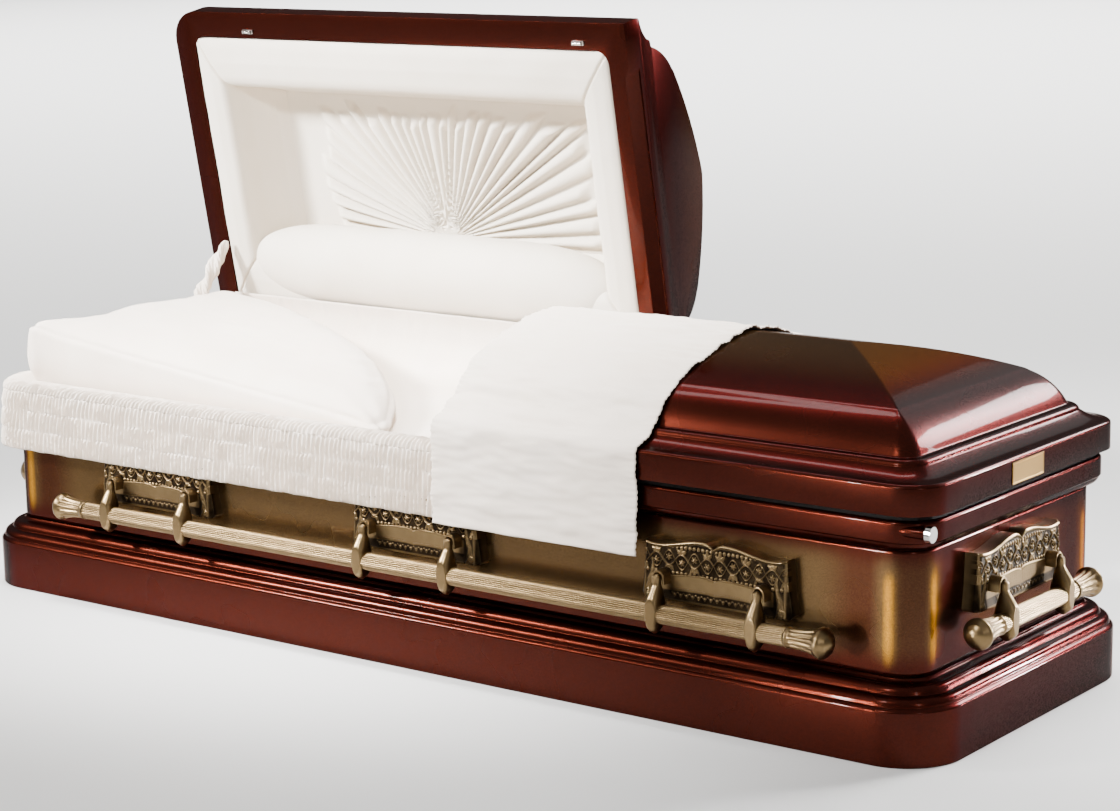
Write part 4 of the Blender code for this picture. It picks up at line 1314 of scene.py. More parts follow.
@dataclass
class Furniture:
    """The casting shared by all the handles: ear, socket, arm, bar and tip, with the panel at y = 0."""

    ear_half: float = 0.145
    ear_low: float = 0.201
    ear_top: float = 0.306
    ear_depth: float = 0.026
    arm_spread: float = 0.096
    pivot: tuple[float, float] = (0.049, 0.241)
    bar: tuple[float, float] = (0.054, 0.184)
    bar_radius: float = 0.016
    reeds: int = 28
    reed_depth: float = 0.0011
    flutes: int = 12
    flute_depth: float = 0.0024
    tip_length: float = 0.084
    drop: float = 0.091
    arm_flat: float = 0.0170
    edge_round: float = 0.006
    socket_outer: tuple[float, float] = (0.0125, 0.0135)
    socket_inner: tuple[float, float] = (0.0085, 0.0095)
    socket_drop: float = 0.0105
    parts: dict[str, bpy.types.Object] = field(default_factory=dict)

    def make(self) -> None:
        """Shape the patterns that every handle is cast from."""
        self.parts = {"ear": joined("ear_pattern", [self.plaque(), *self.sockets()]), "arm": self.arm(),
                      "tip": self.tip()}

    def clear(self) -> None:
        """Put the patterns away."""
        for pattern in self.parts.values():
            bpy.data.objects.remove(pattern)

    def top_edge(self, u: Array) -> Array:
        """Draw the plaque's top edge, two swelling arcs that meet in a notch.

        Args:
            u: Places along the ear, from -1 to 1.

        Returns:
            The edge's height at each place.
        """
        drop = curve_through((0.0, 0.035, 0.10, 0.20, 0.36, 0.55, 0.74, 0.90, 1.0),
                             (-0.085, -0.050, -0.008, 0.0, -0.022, -0.075, -0.115, -0.110, -0.085), np.abs(u))
        return self.ear_top + drop * (self.ear_top - self.ear_low)

    def plaque(self) -> bpy.types.Object:
        """Cast the curved plaque with a vine in relief, sides that turn back to the panel, and a closed back.

        Returns:
            The plaque.
        """
        u, v = np.meshgrid(np.linspace(-1.0, 1.0, 301), np.linspace(0.0, 1.0, 121))
        z = self.ear_low + (self.top_edge(u) - self.ear_low) * v
        x = u * (self.ear_half * np.interp(v, (0.0, 0.06, 0.5, 1.0), (0.965, 1.0, 0.955, 0.935)))
        relief = self.relief(x, z, v)
        y = -self.ear_depth + self.edge_round * (1.0 - ease(0.0, 0.05, 1.0 - np.abs(u))) - relief
        rows = np.stack([x, y, z], axis=2)
        piece = skin("plaque", rows, ring=False, inside=Vector((0.0, 0.0, 0.25)), sharp=50.0)
        bm = bmesh.new()
        bm.from_mesh(piece.data)
        hollow = bm.verts.layers.float.new("hollow")
        dark = (1.0 - ease(0.0002, 0.0019, relief)) * 0.86 * self.zone(x, v)
        for vert, value in zip(bm.verts, dark.ravel()):
            vert[hollow] = value
        for y, grow in ((-0.35 * self.ear_depth, 1.0), (-0.0003, 1.015)):
            rim = [edge for edge in bm.edges if edge.is_boundary]
            new = bmesh.ops.extrude_edge_only(bm, edges=rim)["geom"]
            for vert in (part for part in new if isinstance(part, bmesh.types.BMVert)):
                vert.co.y = y
                vert.co.x *= grow
                vert[hollow] = 0.35
        close_holes(bm)
        face_out(bm, None)
        bpy.data.objects.remove(piece)
        return finished("plaque", bm, 50.0)

    def zone(self, x: Array, v: Array) -> Array:
        """Find where the ground behind the relief is darkened.

        Args:
            x: Place of each grid point along the ear.
            v: Its place up the ear, from 0 to 1.

        Returns:
            The share of dark at each grid point.
        """
        below_lip = 1.0 - ease(0.93, 0.96, v)
        upper = ease(0.44, 0.47, v) * below_lip
        lower = ease(0.02, 0.04, v) * (1.0 - ease(0.17, 0.20, v))
        return np.clip(upper + lower + ease(0.110, 0.114, np.abs(x)) * below_lip, 0.0, 1.0)

    def relief(self, x: Array, z: Array, v: Array) -> Array:
        """Draw the cast ornament: rolled top edge, vine scroll, plain band and a leaf strip.

        Args:
            x: Place of each grid point along the ear.
            z: Its height.
            v: Its place up the ear, from 0 to 1.

        Returns:
            The ornament's height at each grid point.
        """
        side = np.abs(x)
        lip = 0.0030 * bell(v - 0.975, 0.022)
        band = 0.0025 * ease(0.215, 0.225, v) * (1.0 - ease(0.435, 0.445, v))
        band = band * (1.0 - ease(0.083, 0.085, side))
        frame = 0.0016 * bell(side - 0.1345, 0.0024) * (v < 0.97)
        vine = self.vine(side, z - (self.ear_low + 0.069)) * ease(0.45, 0.48, v) * (1.0 - ease(0.90, 0.95, v))
        strip = self.leaf_strip(side, z - (self.ear_low + 0.0115)) * (v < 0.2) * (side < 0.083)
        scroll = self.scroll(side, z)
        ground = 0.0003 * np.sin(x * 2900.0) * np.sin(z * 2900.0)
        clear = 1.0 - (np.abs(side - self.arm_spread) < 0.0125) * (z < 0.256)
        return (np.maximum.reduce([lip, band, frame, vine, strip, scroll]) + ground) * clear

    def vine(self, side: Array, rise: Array) -> Array:
        """Wind a stem outwards from the middle, with a rosette in each bend and leaves on its back.

        Args:
            side: Distance of each grid point from the ear's middle.
            rise: Its height above the vine's middle.

        Returns:
            The ornament's height at each grid point.
        """
        pitch, swing, bud_pitch = 0.0495, 0.0098, 0.0083
        stem_line = swing * np.sin(math.tau * side / pitch)
        height = 0.0026 * bell(rise - stem_line, 0.0017)
        height = np.maximum(height, 0.0018 * bell(rise + 1.5 * stem_line, 0.0012))
        cell = (np.abs((side / bud_pitch) % 1.0 - 0.5)) * bud_pitch
        for row in (0.0225, -0.0215):
            height = np.maximum(height, 0.0026 * dome(np.hypot(cell, rise - row), 0.0034) ** 0.5)
        for bend in range(6):
            middle = (bend + 0.5) * pitch / 2
            sign = 1.0 if bend % 2 == 0 else -1.0
            dx, dz = side - middle, rise + sign * 0.0042
            reach, turn = np.hypot(dx, dz), np.arctan2(dz, dx)
            petals = np.cos(6 * turn + bend)
            rosette = 0.0034 * dome(reach, 0.0066 * (0.78 + 0.22 * petals)) ** 0.5
            rosette *= 0.72 + 0.28 * petals * ease(0.001, 0.004, reach)
            height = np.maximum.reduce([height, rosette, 0.0040 * dome(reach, 0.0021)])
            for lean, tip in ((-0.75, 0.0135), (0.0, 0.0165), (0.75, 0.0135)):
                out_x, out_z = side - middle, rise - sign * (swing - 0.001)
                way_x, way_z = math.sin(lean), sign * math.cos(lean)
                along, across = out_x * way_x + out_z * way_z, out_x * way_z - out_z * way_x
                width = 0.0042 * np.sin(math.pi * np.clip(along / tip, 0.0, 1.0) ** 0.8) + 1e-5
                leaf = 0.0030 * dome(across, width) * (along > 0) * (along < tip)
                height = np.maximum(height, leaf * (1.0 - 0.45 * bell(across, 0.0007)))
        return height

    def leaf_strip(self, side: Array, rise: Array) -> Array:
        """Run buds and small leaves along the lower strip.

        Args:
            side: Distance of each grid point from the ear's middle.
            rise: Its height above the strip's middle.

        Returns:
            The ornament's height at each grid point.
        """
        pitch = 0.0118
        cell = np.abs(((side / pitch) % 1.0) - 0.5) * pitch
        wave = 0.0012 * bell(rise - 0.0036 * np.cos(math.tau * side / pitch), 0.0009)
        return np.maximum(0.0016 * dome(np.hypot(cell, rise), 0.0030), wave)

    def scroll(self, side: Array, z: Array) -> Array:
        """Stand a leaf beside each arm, with a curl at its foot.

        Args:
            side: Distance of each grid point from the ear's middle.
            z: Its height.

        Returns:
            The ornament's height at each grid point.
        """
        rise = (z - self.ear_low) / 0.060
        rib = side - 0.122 - 0.004 * np.sin(rise * 5.0)
        leaf = 0.0030 * dome(rib, 0.0085 * np.sqrt(np.clip(1.15 - rise, 0.0, 1.0)) + 1e-5)
        leaf *= 0.75 + 0.25 * np.cos(rise * 26.0 + np.abs(rib) * 900.0)
        curl = np.hypot(side - 0.128, z - self.ear_low - 0.010)
        ring = 0.0034 * dome(curl, 0.0100) * (0.7 + 0.3 * np.cos(curl * 1500.0))
        return np.maximum(leaf * (rise < 1.15) * (rise > 0.0), ring)

    def sockets(self) -> list[bpy.types.Object]:
        """Arch a housing round each arm's head.

        Returns:
            Both housings.
        """
        made = []
        out, z = self.pivot
        (wide, tall), (bore, bore_top), base = self.socket_outer, self.socket_inner, z - self.socket_drop
        turn = np.linspace(0.0, math.pi, 17)
        outer = np.stack([wide * np.cos(turn), z + tall * np.sin(turn)], axis=1)
        inner = np.stack([bore * np.cos(turn), z + bore_top * np.sin(turn)], axis=1)[::-1]
        flat = np.concatenate([outer, [(-wide, base), (-bore, base)], inner, [(bore, base), (wide, base)]])
        for sign in (-1, 1):
            x = flat[:, 0] + sign * self.arm_spread
            rows = [np.column_stack([x, np.full(len(x), y), flat[:, 1]]) for y in (-0.018, -out + 0.002)]
            piece = skin(f"socket_{sign}", rows, capped=True, sharp=30.0)
            with reworked(piece) as bm:
                rim = [edge for edge in bm.edges if all(vert.co.y < -out + 0.003 for vert in edge.verts)]
                bmesh.ops.bevel(bm, geom=rim, affect="EDGES", offset=0.0011, segments=2, profile=0.5,
                                material=-1)
            made.append(piece)
        return made

    def arm(self) -> bpy.types.Object:
        """Shape an almond drop with a flat cut down its front, hung from a round neck.

        Returns:
            The pattern, with its pivot at the origin.
        """
        keys = (-1.0, -0.93, -0.76, -0.45, -0.20, -0.10, 0.0, 0.052, 0.075)
        height = np.linspace(keys[0], keys[-1], 44)
        wide = curve_through(keys, (0.10, 0.50, 0.84, 0.94, 0.66, 0.50, 0.50, 0.42, 0.16), height) * 0.0145
        deep = curve_through(keys, (0.14, 0.56, 0.92, 0.92, 0.52, 0.32, 0.30, 0.26, 0.10), height) * 0.022
        turn = circle(40)
        across, out = (np.sign(wave) * np.abs(wave) ** 0.85 for wave in (np.cos(turn), np.sin(turn)))
        lean = (self.pivot[0] - self.bar[0]) * ease(-0.05, -0.42, height)
        rows = [np.column_stack([half_x * across, np.maximum(half_y * out, -self.arm_flat) + back,
                                 np.full(len(turn), at * self.drop)])
                for at, half_x, half_y, back in zip(height, wide, deep, lean)]
        return skin("arm_pattern", rows, capped=True, sharp=24.0)

    def tip(self) -> bpy.types.Object:
        """Turn a fluted trumpet with a raised rim and a domed end.

        Returns:
            The pattern, which runs along +X from the origin.
        """
        neck = self.bar_radius
        keys = (0.0, 0.03, 0.05, 0.10, 0.30, 0.50, 0.66, 0.72, 0.76, 0.80, 0.84, 0.86, 0.92, 0.97, 1.0)
        sizes = (neck - 0.002, neck + 0.0018, neck + 0.0018, neck + 0.0002, neck + 0.0008, neck + 0.003,
                 0.0222, 0.0245, 0.0260, 0.0258, 0.0236, 0.0218, 0.0175, 0.0105, 0.0012)
        turn = circle(self.flutes * 12)
        at = np.concatenate([np.linspace(0.0, 0.86, 64), np.linspace(0.87, 1.0, 14)])
        cuts = ease(0.10, 0.16, at) * (1.0 - ease(0.62, 0.72, at))
        rows = []
        for share, size, cut in zip(at, np.interp(at, keys, sizes), cuts):
            radius = size - self.flute_depth * cut * np.abs(np.cos(turn * self.flutes / 2.0)) ** 3
            rows.append(hoop(turn, (share * self.tip_length, 0.0, 0.0), radius, radius))
        piece = skin("tip_pattern", rows, capped=True, sharp=40.0)
        relax_mesh(piece)
        tint(piece, "hollow", lambda p: 0.8 * (1.0 - ease(0.001, 0.003, p[:, 0])))
        return piece

    def cast(self, name: str, pattern: str, place: Matrix) -> bpy.types.Object:
        """Copy a pattern to its place.

        Args:
            name: The new piece's name.
            pattern: The pattern's key in parts.
            place: Where it goes.

        Returns:
            The new piece.
        """
        made = linked(name, self.parts[pattern].data.copy())
        made.data.transform(place)
        return made

    def rod(self, name: str, half: float, place: Matrix) -> bpy.types.Object:
        """Draw a reeded bar.

        Args:
            name: The bar's name.
            half: Half its length.
            place: Where its handle's panel is.

        Returns:
            The bar, in its place.
        """
        turn = circle(self.reeds * 6)
        radius = self.bar_radius - self.reed_depth * (1.0 - np.abs(np.sin(turn * self.reeds / 2.0)))
        rows = [hoop(turn, (x, 0.0, 0.0), radius, radius) for x in np.linspace(-half, half, 9)]
        piece = skin(name, rows, capped=True, sharp=80.0)
        low, high = self.bar_radius - self.reed_depth, self.bar_radius - 0.0004
        tint(piece, "hollow", lambda p: 0.55 * (1.0 - ease(low, high, np.hypot(p[:, 1], p[:, 2]))))
        piece.data.transform(place @ Matrix.Translation((0.0, -self.bar[0], self.bar[1])))
        return piece


@dataclass
class Handle:
    """One swing handle on a side or an end."""

    label: str
    place: Matrix
    ears: tuple[float, ...]
    length: float
    furniture: Furniture

    def build(self) -> None:
        """Cast the ears, the arms, the bar and the tips."""
        kit, body = self.furniture, f"{self.label}_handle"
        for number, x in enumerate(self.ears, 1):
            ear = f"{self.label}_ear_{number}" if len(self.ears) > 1 else f"{self.label}_ear"
            piece = kit.cast(f"{ear}_plaque", "ear", self.place @ Matrix.Translation((x, 0.0, 0.0)))
            dress(piece, BRONZE, "casket", ear)
            for hand, sign in (("a", -1), ("b", 1)):
                arm = f"{self.label}_arm_{number}{hand}"
                spot = Matrix.Translation((x + sign * kit.arm_spread, -kit.pivot[0], kit.pivot[1]))
                dress(kit.cast(f"{arm}_drop", "arm", self.place @ spot), BRONZE, body, arm)
        half = self.length / 2
        dress(kit.rod(f"{self.label}_reeded_bar", half, self.place), BRONZE, body, f"{self.label}_bar")
        for hand, sign in (("a", -1), ("b", 1)):
            spot = Matrix.Translation((sign * (half + 0.0003), -kit.bar[0], kit.bar[1]))
            turn = Matrix.Rotation(0.0 if sign > 0 else math.pi, 4, "Z")
            tip = kit.cast(f"{self.label}_fluted_tip_{hand}", "tip", self.place @ spot @ turn)
            dress(tip, BRONZE, body, f"{self.label}_tip_{hand}")


@dataclass
class Fittings:
    """The bare plate on the foot lid and the catches on the head lid."""

    plate: tuple[float, float, float] = (1.0467, -0.011, 0.41875)
    plate_size: tuple[float, float, float] = (0.0012, 0.106, 0.036)
    border: tuple[tuple[float, float], ...] = ((0.0028, 0.0), (0.0016, -0.0007), (0.0003, 0.0007))
    catches: tuple[float, float] = (-0.839, -0.010)
    catch_y: float = -0.298

    def build(self) -> None:
        """Build the plate and both catches."""
        self.nameplate()
        for number, x in enumerate(self.catches, 1):
            self.catch(number, x)

    def nameplate(self) -> None:
        """A thin plate with an engraved border line and nothing on it."""
        bm = bmesh.new()
        block(bm, self.plate_size, Matrix.Translation(Vector(self.plate) + Vector(
            (self.plate_size[0] / 2, 0.0, 0.0))))
        front = max(bm.faces, key=lambda face: face.normal.x)
        for width, depth in self.border:
            bmesh.ops.inset_individual(bm, faces=[front], thickness=width, depth=depth)
        dress(finished("foot_lid_plate", bm, 20.0), BRASS, "foot_lid_body", "nameplate")

    def catch(self, number: int, x: float) -> None:
        """Build a small catch: foot, two posts and a roller.

        Args:
            number: Its number on the lid.
            x: Its place along the lid.
        """
        y, z = self.catch_y, SEAT_Z - 0.0003
        bm = bmesh.new()
        foot, post = (0.026, 0.009, 0.0016), (0.0035, 0.007, 0.0066)
        for size, spot in ((foot, (0.0, 0.0, -0.0008)), (post, (-0.009, 0.0, -0.0035)),
                           (post, (0.009, 0.0, -0.0035))):
            block(bm, size, Matrix.Translation(Vector((x, y, z)) + Vector(spot)))
        bmesh.ops.bevel(bm, geom=bm.edges[:], affect="EDGES", offset=0.0005, segments=2, profile=0.5,
                        material=-1)
        roller = Matrix.Translation((x, y, z - 0.0052)) @ Matrix.Rotation(math.pi / 2, 4, "Y")
        bmesh.ops.create_cone(bm, cap_ends=True, segments=20, radius1=0.0022, radius2=0.0022, depth=0.020,
                              matrix=roller)
        dress(swing_open(finished(f"head_lid_latch_{number}", bm)), CHROME, "head_lid_body",
              f"lid_catch_{number}")


@dataclass
class Bedding:
    """The mattress, the pillow and the padded wall inside the body."""

    inset: float = 0.0764
    top: float = 0.375
    low: float = 0.311
    pillow_foot: float = -0.075
    seam: tuple[float, float] = (0.500, 0.402)
    groove: tuple[float, float] = (0.0055, 0.0045)

    def build(self) -> None:
        """Build the bedding from the bottom up."""
        self.mattress()
        self.wall_pad()
        self.pillow()

    def mattress(self) -> None:
        """A crowned pad with soft edges."""
        steps = [(0.030, self.low), (0.006, self.low + 0.006), (0.0, self.low + 0.024),
                 (0.0, self.top - 0.026), (0.004, self.top - 0.010), (0.016, self.top - 0.002),
                 (0.06, self.top), (0.14, self.top + 0.002), (0.24, self.top + 0.002)]
        rows = [plan_ring(self.inset + inset, height, body_radius) for inset, height in steps]
        piece = skin("mattress_pad", rows, capped=True, sharp=SOFT)
        dent(piece, lambda at: np.where(at[:, 2] > self.top - 0.02, wobble(at, 0.16, 5.0) * 0.003, 0.0))
        dress(piece, CREPE, "casket", "mattress")

    def wall_pad(self) -> None:
        """Gathered cloth over padding inside the walls."""
        section = resample([(0.0522, 0.3180), (0.0522, 0.3838), (0.066, 0.3838), (0.0722, 0.378),
                            (0.0730, 0.350), (0.0715, 0.3180)], 26)
        rows = [plan_ring(inset, height, body_radius) for inset, height in section]
        piece = skin("wall_padding", rows, loop=True, sharp=SOFT)
        dress(piece, CREPE, "casket", "body_lining")

    def outline(self) -> Array:
        """Draw the pillow's plan, cut back in a long curve on its foot side.

        Returns:
            The plan's points, one row of x and y each.
        """
        head = -(HALF_LENGTH - self.inset - 0.001)
        half = HALF_WIDTH - self.inset - 0.006
        line = [(head, half), (head - 0.002, 0.0), (head, -half), (head + 0.43, -half - 0.002),
                (self.pillow_foot - 0.03, -half)]
        line += arc((self.pillow_foot, -half + 0.01), (head + 0.20, half), -0.10, 16)
        return resample(soften(line + [line[0]], 0.006), 241)[:-1]

    def seam_height(self, x: Array) -> Array:
        """Slope the pillow's seam down to its foot side.

        Args:
            x: Places along the casket.

        Returns:
            The seam's height at each place.
        """
        head = -(HALF_LENGTH - self.inset - 0.006)
        share = (x - head) / (self.pillow_foot - head)
        return self.seam[0] + (self.seam[1] - self.seam[0]) * share

    def pillow(self) -> None:
        """A wedge cushion, blown up with a cloth simulation, then seamed."""
        plan = self.outline()
        middle = np.array([plan[:, 0].mean(), 0.0])
        floor = self.top + 0.004
        rows = []
        for scale, sink, lift in ((0.05, -1.0, 0.0), (0.92, -1.0, 0.0), (0.985, -0.93, 0.0),
                                  (1.012, -0.68, 0.0), (1.018, -0.45, 0.0), (1.004, 0.0, -0.012),
                                  (1.0, 0.0, 0.0), (0.95, 0.0, 0.008), (0.80, 0.0, 0.014),
                                  (0.55, 0.0, 0.018), (0.05, 0.0, 0.020)):
            flat = middle + (plan - middle) * scale
            seam = self.seam_height(flat[:, 0])
            rows.append(np.column_stack([flat, seam + lift + sink * (seam - floor)]))
        piece = skin("pillow_case", rows, capped=True, sharp=SOFT)
        puff(piece, 0.0085, 5.0, 0.010)
        points = coordinates(piece)
        normals = np.array([vert.normal for vert in piece.data.vertices])
        seam_gap = points[:, 2] - self.seam_height(points[:, 0])
        points -= normals * (self.groove[0] * bell(seam_gap, self.groove[1]))[:, None]
        creases = wobble(points * (1.0, 1.0, 0.4), 0.055, 11.0) * 0.0016 + wobble(points, 0.2, 2.0) * 0.004
        for corner, pull in (((-0.985, -0.262), (-0.012, -0.008, 0.010)),
                             ((self.pillow_foot, -0.262), (0.014, -0.004, 0.0))):
            reach = points[:, :2] - corner
            away = np.hypot(*reach.T)
            rays = np.sin(13.0 * np.arctan2(reach[:, 1], reach[:, 0])) * ease(0.01, 0.035, away)
            creases += 0.0022 * rays * bell(away, 0.10)
            points += bell(away, 0.05)[:, None] * pull
        points += normals * creases[:, None]
        points[:, 2] = np.maximum(points[:, 2], self.top + 0.0012)
        place_points(piece, points)
        dress(piece, CREPE, "casket", "pillow")
        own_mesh(piece)


def puff(piece: bpy.types.Object, voxel: float, pressure: float, cap: float) -> None:
    """Remesh a pad and blow it up as stuffed cloth.

    Args:
        piece: The pad, a little smaller than it should end.
        voxel: The remesh's cell in metres.
        pressure: The cloth's inner pressure.
        cap: The furthest that a point may move, in metres.
    """
    remesh = piece.modifiers.new("cells", "REMESH")
    remesh.mode = "VOXEL"
    remesh.voxel_size = voxel
    settle(piece)
    start = coordinates(piece)
    cloth = piece.modifiers.new("cloth", "CLOTH")
    cloth.settings.use_pressure = True
    cloth.settings.uniform_pressure_force = pressure
    cloth.settings.quality = 5
    cloth.settings.effector_weights.gravity = 0.0
    scene = bpy.context.scene
    for frame_number in range(1, BLOW_FRAMES + 1):
        scene.frame_set(frame_number)
    settle(piece)
    moved = coordinates(piece) - start
    far = np.maximum(np.linalg.norm(moved, axis=1), TINY)
    place_points(piece, start + moved * np.minimum(1.0, cap / far)[:, None])
    scene.frame_set(1)
    relax_mesh(piece)
    finer = piece.modifiers.new("finer", "SUBSURF")
    finer.levels = finer.render_levels = 1
    settle(piece)
    piece.data.shade_smooth()


@dataclass
class Skirt:
    """The shirred cloth that turns over the front and head-end rim."""

    stop: float = 0.086
    length: float = 1.75
    gather: float = 0.0100
    columns: int = 1400
    tiers: int = 3

    def path(self, inset: float) -> Array:
        """Draw the skirt's plan along the front, round the head corner and along the end.

        Args:
            inset: How far inside the plinth's face it runs.

        Returns:
            One row of x and y for each column of the cloth.
        """
        half_x, half_y, radius = HALF_LENGTH - inset, HALF_WIDTH - inset, rim_radius(inset)
        turn = np.radians(np.linspace(270.0, 180.0, 24))
        corner = np.stack([-half_x + radius + radius * np.cos(turn),
                           -half_y + radius + radius * np.sin(turn)], axis=1)
        front = np.linspace((self.stop, -half_y), corner[0], 400)[:-1]
        end = np.linspace(corner[-1], (-half_x, half_y - radius), 200)[1:]
        return resample(np.concatenate([front, corner, end]), self.columns)

    def strip(self, name: str, section: Section, count: int, deep: float, hem: bool) -> bpy.types.Object:
        """One gathered strip along the path.

        Args:
            name: The piece's name.
            section: Its section as (inset, height).
            count: Rows across the section.
            deep: How far the gathers stand.
            hem: The last row hangs free and waves.

        Returns:
            The strip as a thin closed sheet.
        """
        fine = resample(section, count)
        rows = np.array([np.column_stack([self.path(inset), np.full(self.columns, height)])
                         for inset, height in fine])
        normal = np.cross(np.gradient(rows, axis=1), np.gradient(rows, axis=0))
        normal /= np.maximum(np.linalg.norm(normal, axis=2, keepdims=True), TINY)
        run = np.linspace(0.0, 1.0, self.columns) * self.length / self.gather
        down = np.linspace(0.0, 1.0, count)[:, None]
        column = np.arange(self.columns)
        sway = np.array([[fractal(Vector((u * 0.35, v * 2.0, 0.0)), 1.0, 2.0, 2) for u in run[::4]]
                         for v in down[:, 0]])
        sway = np.array([np.interp(column, column[::4], row) for row in sway])
        tiers = self.tiers if hem else 1
        tier = np.minimum((down * tiers).astype(int), tiers - 1)
        drift = np.sin(run * 0.31 + 2.1 * tier) * 0.30 + np.sin(run * 0.117 + 4.7 * tier) * 0.5
        fold = np.sin(math.tau * (run + drift + 0.42 * sway))
        pinch = np.abs(np.sin(math.pi * down * tiers)) ** 0.45
        swell = deep * (0.80 * fold + 0.35 * sway) * (0.60 + 0.40 * pinch) + 0.0006 * pinch
        if hem:
            swell = swell * (0.55 + 0.45 * ease(0.0, 0.2, down)) + 0.0015 * ease(0.8, 1.0, down) * fold
        rows += normal * swell[:, :, None]
        if hem:
            rows[-6:, :, 2] += (0.0012 * fold[-6:] + 0.002 * sway[-6:])
        piece = skin(name, rows, ring=False, inside=Vector((-0.4, 0.05, 0.2)), sharp=SOFT)
        return thicken(piece, GAUZE)

    def build(self) -> None:
        """The top strip over the rim, which the closing lid presses, and the hanging strip."""
        upper = [(0.0800, 0.3800), (0.0785, 0.3875), (0.0740, 0.3955), (0.062, 0.4000), (0.048, 0.4035),
                 (0.036, 0.4035), (0.0270, 0.3975), (0.0235, 0.3880)]
        lower = [(0.0243, 0.3885), (0.0235, 0.3800), (0.0215, 0.340), (0.0200, 0.320), (0.0190, 0.2755)]
        top = self.strip("skirt_over_rim", upper, 24, 0.0048, False)
        hang = self.strip("skirt_hanging", lower, 34, 0.0062, True)
        for piece in (top, hang):
            dress(piece, CREPE, "casket", "extendover_skirt")
        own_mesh(top)


@dataclass
class Throw:
    """The cloth laid over the foot lid's head end, hanging down the front."""

    ends: tuple[float, float] = (0.085, 0.513)
    bottom: float = 0.268
    columns: int = 100

    def build(self) -> None:
        """Drape the throw over the crown's section, with soft wrinkles across it."""
        over = offset(lid_section(), -0.0045)
        front = [(over[0][0] - 0.0005, self.bottom)] + over
        line = [(inset - HALF_WIDTH, height) for inset, height in front]
        line += [(-y, z) for y, z in reversed(line[5:-1])]
        line = relaxed(resample(line, 300), 14)
        u = np.linspace(0.0, 1.0, self.columns)
        width = self.ends[1] - self.ends[0]
        rows = np.array([[(self.ends[0] + width * s, y, z) for s in u] for y, z in line])
        slope = np.gradient(line, axis=0)
        normal = np.stack([np.zeros(len(line)), -slope[:, 1], slope[:, 0]], axis=1)
        normal /= np.linalg.norm(normal, axis=1)[:, None]
        outward = normal * np.sign(-normal[0, 1])
        flat = rows.reshape(-1, 3) * (0.30, 1.0, 1.0)
        swell = wobble(flat, 0.022, 4.0) * 0.0044 + wobble(flat, 0.09, 9.0) * 0.0045 + 0.0025
        hem = np.maximum(bell((1.0 - u) * width, 0.018), bell(u * width, 0.010))
        pucker = np.sin(np.linspace(0.0, 1.0, len(line)) * 1.05 / 0.011 * math.tau)
        swell = swell.reshape(rows.shape[:2]) + 0.0014 * pucker[:, None] * hem[None, :]
        rows += outward[:, None, :] * np.maximum(swell, -0.0025)[:, :, None]
        rows[:, :, 0] += 0.0025 * wobble(rows.reshape(-1, 3), 0.08, 6.0).reshape(rows.shape[:2])
        piece = skin("throw_cloth", rows, ring=False, inside=Vector((0.3, 0.0, 0.3)), sharp=SOFT)
        thicken(piece, CLOTH)
        dress(piece, CREPE, "foot_lid_body", "overlay_throw")


@dataclass
class Stay:
    """The cloth-covered stay from the open lid to the body, twisted and ruffled."""

    foot: tuple[float, float, float] = (-1.0208, 0.184, 0.416)
    head: tuple[float, float, float] = (-0.9824, 0.150, 0.3778)
    radius: float = 0.0155
    bow: float = 0.012

    def build(self) -> None:
        """Sweep a twisted ruffle along the stay's bow."""
        top, low = lid_spot(*self.head), Vector(self.foot)
        rows = []
        turn = circle(72)
        side = Vector((1.0, 0.0, 0.0))
        out = (low - top).normalized().cross(side).normalized()
        for share in np.linspace(0.0, 1.0, 200):
            bow = self.bow * math.sin(math.pi * share)
            centre = top.lerp(low, share) + Vector((0.0, -bow, -bow))
            knot = 1.0 - 0.34 * abs(math.sin(share * math.pi * 4.0 + 0.4)) ** 6
            twist = turn + share * 9.0
            frill = 0.80 + 0.24 * np.cos(3.0 * twist) + 0.08 * np.cos(11.0 * twist + share * 60.0)
            size = self.radius * knot * frill * min(1.0, 0.30 + 9.0 * min(share, 1.0 - share))
            rows.append([tuple(centre + side * float(r * math.cos(a)) + out * float(r * math.sin(a)))
                         for r, a in zip(size, turn)])
        piece = skin("stay_cover", rows, capped=True, sharp=SOFT)
        coat(piece, CREPE)
        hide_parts("lid_stay")
        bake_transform(piece)
        LOG.info("%s between casket and head_lid_body", piece.name)


@dataclass
class Apron:
    """The cloth that hides the hinge side, from the lid's lining down to the mattress."""

    ends: tuple[float, float] = (-0.982, 0.070)
    gather: float = 0.024

    def build(self) -> None:
        """Hang the cloth in a shallow curve with soft upright folds."""
        head, lip = lid_spot(0.0, 0.262, 0.3780), lid_spot(0.0, 0.289, 0.3800)
        section = [(head.y, head.z), (lip.y, lip.z), (0.305, 0.440), (0.284, 0.405), (0.266, 0.3860),
                   (0.245, 0.3785), (0.222, 0.3770), (0.200, 0.3715)]
        line = relaxed(resample(section, 44), 12)
        along = np.linspace(*self.ends, 240)
        rows = np.array([[(x, y, z) for x in along] for y, z in line])
        sway = wobble(rows.reshape(-1, 3) * (1.0, 0.2, 0.2), 0.05, 8.0).reshape(rows.shape[:2])
        fold = np.sin(math.tau * (along / self.gather + 1.3 * sway))
        rows[:, :, 1] -= 0.0004 * fold + 0.002 * sway
        piece = skin("hinge_side_cloth", rows, ring=False, inside=Vector((-0.45, 0.5, 0.3)), sharp=SOFT)
        thicken(piece, GAUZE)
        coat(piece, CREPE)
        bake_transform(piece)
        LOG.info("%s between casket and head_lid_body", piece.name)


